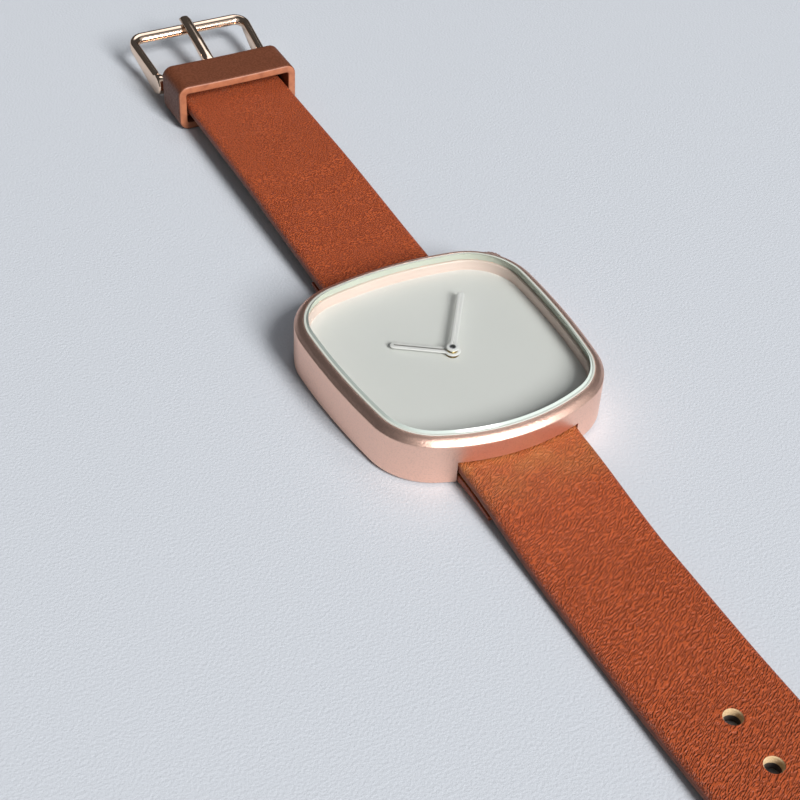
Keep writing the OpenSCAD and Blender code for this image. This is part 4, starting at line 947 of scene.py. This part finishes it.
def punches():
    """One punch for each hole: a rod that flares at the height of the strap's upper face."""
    made = []
    for k in range(HOLE_COUNT):
        y = HOLE_FIRST + HOLE_PITCH * k
        z = top_6(y)
        stations = [-2.0, z - 0.22, z - 0.1, z - 0.02, z + 1.0]
        radii = [HOLE_R, HOLE_R, HOLE_R + 0.03, HOLE_R + 0.12, HOLE_R + 0.5]
        points = ring_about((0, -y, 0), Z_AXIS, X_AXIS, stations, radii, 40)
        made.append(make_piece("punch", points, [], capped=True))
    return made


def tang_slot():
    return [cutter_block("slot_cutter", (-TANG_SLOT_HALF, BUCKLE_BAR_Y - LOOP_R - 0.9, BUCKLE_Z - 4),
                         (TANG_SLOT_HALF, BUCKLE_BAR_Y + 5, BUCKLE_Z + 4))]


run_6, run_12 = run_along(line_6[:, :2]), run_along(line_12[:, :2])
TOP_START = TAIL_POINTS + TURN_POINTS


def edge_6(s):
    """Top edge radius along the holed half: small on the hidden tail, full on the upper run."""
    return TAIL_EDGE_R + (TOP_EDGE_R - TAIL_EDGE_R) * smooth((s - run_6[TOP_START]) / 4.0)


def edge_12(s):
    """The same on the buckle half, and small again on the tail behind the buckle's bar."""
    full = smooth((s - run_12[TOP_START]) / 4.0) * smooth((run_12[TOP_START + RUN_12_POINTS] - s) / 3.0)
    return TAIL_EDGE_R + (TOP_EDGE_R - TAIL_EDGE_R) * full


def lining_line(y, top):
    """The lining's course: just under the upper leather, from bar to tip or from bar to bar."""
    return np.column_stack([y, top(y) - UPPER_T - LINING_T / 2, np.full(len(y), LINING_T)])


LINING_FROM, LINING_TO = BAR_Y + LOOP_R + 0.05, BUCKLE_BAR_Y - LOOP_R - 0.05
lining_line_6 = lining_line(np.arange(LINING_FROM, STRAP_END + 0.01, RUN_STEP), top_6)
lining_line_12 = lining_line(np.linspace(LINING_FROM, LINING_TO, LINING_12_POINTS), top_12)
lining_set = [lining, lining_edge, lining_core_shade]
for node, body, slot_name, points, from_deg, materials, cut in (
        ("strap_6_upper", "strap_6_body", "strap_leather",
         bent_strip(line_6, half_6, -1, edge_6, 0.05, TIP_FROM, rise=0.08), 74,
         [leather_with_wear_sheen, strap_edge, hole_wall], punches),
        ("strap_12_upper", "strap_12_body", "strap_leather",
         bent_strip(line_12, half_12, 1, edge_12, 0.05, rise=0.08), 74,
         [strap_leather, strap_edge, hole_wall], tang_slot),
        ("strap_6_lining", "strap_6_body", "lining_leather",
         bent_strip(lining_line_6, half_6, -1, 0.04, 0.8, TIP_FROM), 30, lining_set, punches),
        ("strap_12_lining", "strap_12_body", "lining_leather",
         bent_strip(lining_line_12, half_12, 1, 0.04, 0.8), 30, lining_set, tang_slot)):
    strap_piece(node + "_leather", body, node, points, from_deg, materials, cut())

# %% [markdown]
# ## Keeper
# The keeper is a short strap of thicker brown leather wrapped round the buckle half, its ends
# meeting underneath. It is the rounded section again, carried round a rectangle with soft
# corners; its cut edges show lighter.

# %% Keeper
KEEPER_X, KEEPER_CORNER_R, KEEPER_SAG, KEEPER_JOINT = 10.2, 1.15, 0.1, 0.06
KEEPER_FLAT, KEEPER_CORNER = 14, 6
mid_x, mid_top, mid_low = KEEPER_X + KEEPER_T / 2, KEEPER_T * 1.5 + KEEPER_SPACE, KEEPER_T / 2
keeper_mid_y = (KEEPER_Y0 + KEEPER_Y1) / 2


def keeper_path():
    """Middle line from the joint under the strap, up the 9 o'clock side, over the top and back down."""
    r = KEEPER_CORNER_R
    points = [(-KEEPER_JOINT, mid_low)]
    for side, z, start in ((-1, mid_low + r, -90), (-1, mid_top - r, 180),
                           (1, mid_top - r, 90), (1, mid_low + r, 0)):
        turn = np.radians(np.linspace(start, start - 90, 10))
        points += list(zip(side * (mid_x - r) + r * np.cos(turn), z + r * np.sin(turn)))
    points.append((KEEPER_JOINT, mid_low))
    flat = resample(np.array(points), 0.35)
    sag = KEEPER_SAG * np.clip(1 - (flat[:, 0] / 9.5) ** 2, 0, 1) * (flat[:, 1] > 4)
    return np.column_stack([flat[:, 0], np.full(len(flat), keeper_mid_y), flat[:, 1] - sag])


points = band(keeper_path(), KEEPER_LEN / 2, KEEPER_T, 0.4, 0.25, across=Y_AXIS,
              flat=KEEPER_FLAT, corner=KEEPER_CORNER)
slots = side_slots(len(points), KEEPER_FLAT, KEEPER_CORNER, 50)
keeper = make_piece("keeper_loop_leather", points, [keeper_leather, keeper_edge], slots=slots, capped=True,
                    crisp=60.0)
dress(keeper, "keeper_body", "keeper_loop")

# %% [markdown]
# ## Buckle
# The buckle is a polished frame: two arms with round eyes for the bar, joined by a far bar. In
# the side view it thins away from the bar. It is built as one sweep from eye to eye. Each
# station knows its outer and inner point in plan and reads its lowest and highest point from
# the side view, and the corners of the section are rounded between them: a little along the arms,
# and so much on the far bar that it is nearly a rod, whose top falls a little towards the strap.

# %% Buckle frame
ARM_X, ARM_W, BUCKLE_LEN, FAR_W, EYE_R, EYE_ROUND = 10.2, 1.6, 14.8, 2.2, 1.9, 0.32
BUCKLE_TILT, FLARE = np.radians(10.0), np.radians(3.5)
FAR_FROM, FAR_OVER, SIDE_VIEW_END = 11.0, 1.5, 13.7


def seat_on_bar(points):
    """From buckle coordinates, the bar along X through the origin, to the watch: a tilt, then a move."""
    x, y, z = points[..., 0], points[..., 1], points[..., 2]
    c, s = np.cos(BUCKLE_TILT), np.sin(BUCKLE_TILT)
    return np.stack([x, y * c - z * s + BUCKLE_BAR_Y, y * s + z * c + BUCKLE_Z], -1)


def swept_section(half_w, low, high, edge):
    """Across, height and "is on top" of every section point, for corner radii of up to edge."""
    a, b, c, s = section(8, 6)
    half_h = np.maximum((high - low) / 2, 0.001)[:, None]
    r = np.minimum(edge, np.minimum(half_w, half_h) * 0.98)
    return a * (half_w - r) + r * c, ((high + low) / 2)[:, None] + b * (half_h - r) + r * s, b > 0


def eased_max(a, b, blend=0.25):
    """Larger of two heights with the corner between them filled by a small radius."""
    return (a + b + np.sqrt((a - b) ** 2 + blend ** 2)) / 2


def frame_heights(y):
    """Lowest and highest point of the frame's side view at distance y from the bar."""
    eye = np.sqrt(np.maximum(EYE_R ** 2 - y ** 2, 0))
    body_top = np.interp(y, [0, 13.8, 14.4, BUCKLE_LEN], [1.25, 1.06, 0.98, 0.75])
    body_low = np.interp(y, [-1.2, 0.4, 1.4, 2.4, 13.8, 14.4, BUCKLE_LEN],
                         [-1.45, -2.55, -2.68, -2.66, -0.73, -0.55, -0.3])
    inside, under = smooth((y + 0.1) / 1.2), smooth((y + 1.7) / 1.2)
    top = np.where(y < EYE_R, eased_max(eye, body_top * inside, 0.2 * inside), body_top)
    low = np.where(y < -1.2, -eye, -eased_max(eye, -body_low * under, 0.15 * under))
    return low, top


def frame_side(half, far, r):
    """One half of the plan outline: straight past the eye, leaning out, round the corner, to the middle."""
    side_y = far - r - r * np.sin(FLARE)

    def lean(y):
        """Half width at distance y; the lean eases in 2 mm from the bar."""
        past = np.maximum(y - 2, 0)
        return half + past ** 2 / (past + 0.6) * (side_y - 1.4) / (side_y - 2) * np.tan(FLARE)

    eye = -EYE_R * np.cos(np.radians(np.linspace(0, 90, 18)))[:-1]
    arm = np.concatenate([eye, np.linspace(0, side_y, 30)])
    corner_x = lean(side_y) - r * np.cos(FLARE)
    turn = np.linspace(-FLARE, np.pi / 2, 17)[1:]
    corner = np.column_stack([corner_x + r * np.cos(turn), far - r + r * np.sin(turn)])
    across = np.column_stack([np.linspace(corner_x, 0, 16)[1:], np.full(15, far)])
    return np.concatenate([np.column_stack([lean(arm), arm]), corner, across])


def both_halves(side):
    """A half of the plan outline and its mirror image, from one eye round to the other."""
    return np.concatenate([side, side[-2::-1] * [-1, 1]])


outer = both_halves(frame_side(ARM_X + ARM_W, BUCKLE_LEN, 3.0))
inner = both_halves(frame_side(ARM_X, BUCKLE_LEN - FAR_W, 1.2))
middle = (outer + inner) / 2
low, high = frame_heights(np.minimum(middle[:, 1], SIDE_VIEW_END))
half_w = np.linalg.norm(outer - inner, axis=1) / 2
toward = (outer - inner) / (2 * half_w[:, None])
from_end = middle[:, 1] + EYE_R
narrow = EYE_ROUND - np.sqrt(np.maximum(EYE_ROUND ** 2 - np.clip(EYE_ROUND - from_end, 0, EYE_ROUND) ** 2, 0))
half_w = (half_w - narrow)[:, None]
far = smooth((middle[:, 1:] - FAR_FROM) / FAR_OVER)
across, height, on_top = swept_section(half_w, low, high, 0.45 + 0.4 * far)
fall = 0.45 * far * ((half_w - across) / (2 * half_w)) ** 1.5
round_off = 0.3 * (1 - far) * smooth(from_end[:, None] / 4) * (across / half_w) ** 2
height -= on_top * (fall + round_off)
points = np.stack([middle[:, :1] + toward[:, :1] * across, middle[:, 1:] + toward[:, 1:] * across, height], -1)
buckle = make_piece("buckle_frame_polished", seat_on_bar(points), [buckle_steel], capped=True, crisp=50.0,
                    weld=0.002)
carve(buckle, [cutter_rod("bore_cutter", (0, BUCKLE_BAR_Y, BUCKLE_Z), X_AXIS, Y_AXIS,
                          *sorted((side * 9.4, side * 11.15)), PIN_R, 32) for side in (1, -1)], crisp=50.0)
dress(buckle, "buckle_body", "buckle_frame")

# %% [markdown]
# ## Tang
# The tang turns on the same bar: an eye, a long finger that bears on the far bar, and a tip
# that drops over it. It is swept the same way, with its width drawn in towards the tip.

# %% Tang
TANG_W, TANG_EYE_R, TANG_BORE_R, TANG_BEND, TANG_LEN = 2.2, 1.4, 0.8, 14.8, 16.1
EYE_ROWS = 15


def tang_heights(y):
    """Lowest and highest point of the tang's side view at distance y from the bar."""
    eye = np.sqrt(np.maximum(TANG_EYE_R ** 2 - y ** 2, 0))
    top = np.interp(y, [0, 0.8, 2.2, 4, 8, 12.6, 14.7, 15.5, 15.9, TANG_LEN],
                    [1.4, 1.42, 1.7, 1.93, 2.12, 2.19, 2.16, 2.0, 1.62, 1.2])
    under = np.interp(y, [0.0, 1.2, 12.6, 15.0, 15.5, 15.85, TANG_LEN],
                      [0.1, -0.2, 1.08, 1.08, 0.76, 0.82, 1.14])
    low = np.where(y < 0.9, -eye, np.minimum(under, np.where(y < TANG_EYE_R, -eye, under)))
    return low, np.where(y < 0, eye, top)


def soften(heights):
    """Runs a short weighted mean along the heights, and leaves the eye and the very tip as they are."""
    kernel = np.array([1, 2, 3, 2, 1]) / 9
    keep = EYE_ROWS + 3
    return np.concatenate([heights[:keep], np.convolve(heights, kernel, "same")[keep:-3], heights[-3:]])


y = np.concatenate([-TANG_EYE_R * np.cos(np.radians(np.linspace(0, 90, EYE_ROWS + 1)))[:-1],
                    np.linspace(0, TANG_BEND, 60), np.linspace(TANG_BEND, TANG_LEN, 18)[1:]])
low, high = (soften(heights) for heights in tang_heights(y))
narrowing = np.interp(y, [-TANG_EYE_R, 6, 13.9, 15.5, 15.9, TANG_LEN], [1, 1, 0.96, 0.92, 0.75, 0.45])
half_w = (TANG_W / 2 * narrowing)[:, None]
across, height, on_top = swept_section(half_w, low, high, 0.55)
height -= 0.3 * on_top * np.minimum(np.abs(across / half_w), 1) ** 2 * smooth((y[:, None] - 1.5) / 2)
points = np.stack([across, np.broadcast_to(y[:, None], across.shape), height], -1)
tang = make_piece("buckle_tang_polished", seat_on_bar(points), [buckle_steel], capped=True, crisp=50.0,
                  weld=0.002)
carve(tang, [cutter_rod("eye_cutter", (0, BUCKLE_BAR_Y, BUCKLE_Z), X_AXIS, Y_AXIS, -2, 2, TANG_BORE_R)],
      crisp=50.0)
dress(tang, "tang_body", "buckle_tang")

# %% [markdown]
# ## Bars
# A spring bar is a thin tube with a sprung pin in each end. The tube is crimped near its ends
# to keep the pins in, and two shallow grooves show where.

# %% Spring bar tubes
BAR_R, BAR_BORE_R, BAR_BREAK, BAR_SHORT = 0.75, 0.55, 0.05, 2.2
CRIMP_DEPTH, CRIMP_W, CRIMP_IN = 0.1, 0.5, 0.9


def bar_tube(name, node, body, y, z, half):
    """Tube of revolution about X: outer wall with two crimp grooves, then back along the bore."""
    end = half - BAR_SHORT
    profile = [(-end, BAR_BORE_R), (-end, BAR_R - BAR_BREAK), (-end + BAR_BREAK, BAR_R)]
    for side in (-1, 1):
        profile += [(side * (end - CRIMP_IN) + d, BAR_R - CRIMP_DEPTH * np.cos(np.pi * d / CRIMP_W) ** 2)
                    for d in np.linspace(-CRIMP_W / 2, CRIMP_W / 2, 7)]
    profile += [(end - BAR_BREAK, BAR_R), (end, BAR_R - BAR_BREAK), (end, BAR_BORE_R)]
    station, radius = np.array(profile).T
    piece = make_piece(name, ring_about((0, y, z), X_AXIS, Y_AXIS, station, radius, 40), [bar_steel],
                       ring_rows=True, crisp=40.0)
    dress(piece, body, node)


bar_tube("spring_bar_12_tube", "spring_bar_12", "case_body", BAR_Y, BAR_Z, RECESS_W / 2)
bar_tube("spring_bar_6_tube", "spring_bar_6", "case_body", -BAR_Y, BAR_Z, RECESS_W / 2)
bar_tube("buckle_bar_tube", "buckle_bar", "buckle_body", BUCKLE_BAR_Y, BUCKLE_Z, ARM_X)

# %% [markdown]
# ## The rest of the movement
# The pieces inside keep their CAD solids, and each gets the material it is made of.

# %% Materials for the carried-over solids
finish_of = {
    dial_lacquer: ["dial"],
    black_rubber: ["case_back_gasket", "crown_gasket"],
    holder_plastic: ["movement_holder"],
    board_laminate: ["circuit_board"],
    coil_wire: ["coil"],
    cell_steel: ["battery", "quartz_oscillator"],
    movement_brass: ["train_bridge", "third_wheel", "centre_wheel", "minute_wheel", "hour_wheel",
                     "hour_wheel_washer", "intermediate_wheel"],
    movement_steel: ["main_plate", "bridge_screws", "battery_clamp", "stator", "rotor", "cannon_pinion",
                     "setting_wheel", "sliding_pinion", "setting_lever", "yoke", "winding_stem"],
    bar_steel: ["crown_tube", "bar_12_pin_3", "bar_12_pin_9", "bar_6_pin_3", "bar_6_pin_9", "buckle_pin_3",
                "buckle_pin_9"],
}
for material, names in finish_of.items():
    for name in names:
        mesh = bpy.data.objects[name].data
        mesh.materials.clear()
        mesh.materials.append(material)
print("carried over:", sum(len(v) for v in finish_of.values()), "pieces")

# %% [markdown]
# ## Table and light
# The watch lies on a pale sheet. One tall soft box stands in front of it, on the side of the
# 6 o'clock strap and a little to the right, thirty-six degrees up; it is big and far away, so
# its light falls evenly over the sheet while the shadows keep a soft edge. The room is dim all
# round, which gives metal its dark reflections. A faint glow about the lamp softens the bright
# side, and one small patch high behind draws the streak on the polished buckle.

# %% Stage
def sheet_material():
    """Matt paper: a fine tooth in the bump, drawn at 0.45 mm so that it shows, and no shine."""
    material, tree, place = new_material("matt_paper_sheet")
    grain = add(tree, "TexNoise", {"Scale": per_mm(0.45), "Detail": 3.0}, {"Vector": place})
    bump = add(tree, "Bump", {"Strength": 0.7, "Distance": 0.1 * MM}, {"Height": grain})
    shader = add(tree, "BsdfPrincipled", {"Base Color": linear("#D0D4DA"), "Roughness": 0.8}, {"Normal": bump})
    add(tree, "OutputMaterial", None, {0: shader})
    return material


TABLE_HALF, TABLE_DROP = 1.5, 0.05
table = bpy.data.objects.new("table", bpy.data.meshes.new("table"))
corners = [(x * TABLE_HALF, y * TABLE_HALF, 0) for x, y in ((-1, -1), (1, -1), (1, 1), (-1, 1))]
table.data.from_pydata(corners, [], [(0, 1, 2, 3)])
table.data.materials.append(sheet_material())
scene.collection.objects.link(table)
table.location.z = -TABLE_DROP * MM


def soft_box(name, direction, distance, width, height, power):
    """A lamp of width by height metres at a distance in metres, facing the watch."""
    light = bpy.data.lights.new(name, "AREA")
    light.shape = "RECTANGLE"
    light.energy, light.size, light.size_y = power, width, height
    piece = bpy.data.objects.new(name, light)
    scene.collection.objects.link(piece)
    direction = Vector(direction).normalized()
    piece.location = direction * distance
    piece.rotation_euler = direction.to_track_quat("Z", "Y").to_euler()


soft_box("key", (0.26, -1.35, 1.0), 8.0, 2.11, 4.0, 865.0)

world = bpy.data.worlds.new("room")
scene.world = world
world.use_nodes = True
tree = world.node_tree
tree.nodes.clear()
direction = add(tree, "TexCoord").outputs["Generated"]
height = add(tree, "SeparateXYZ", None, {0: direction})
strength = add(tree, "MapRange", {"From Min": 0.2, "From Max": 0.6, "To Min": 0.06, "To Max": 0.07},
               {"Value": height.outputs["Z"]}, interpolation_type="SMOOTHSTEP")
# The glow about the lamp, then the patch high behind: direction, cosines from edge to core, strength.
for toward, edge_cos, core_cos, power in (((0.1, -0.8, 0.59), 0.6, 0.92, 0.5),
                                          ((0.37, 0.385, 0.845), 0.965, 0.99, 1.8)):
    facing = add(tree, "VectorMath", {1: toward}, {0: direction}, operation="DOT_PRODUCT")
    light = add(tree, "MapRange", {"From Min": edge_cos, "From Max": core_cos, "To Max": power},
                {"Value": facing.outputs["Value"]}, interpolation_type="SMOOTHSTEP")
    strength = add(tree, "Math", None, {0: strength, 1: light}, operation="ADD")
sky = add(tree, "Background", {"Color": linear("#F3F6FB")}, {"Strength": strength})
add(tree, "OutputWorld", None, {0: sky})
scene.view_settings.view_transform = "Standard"
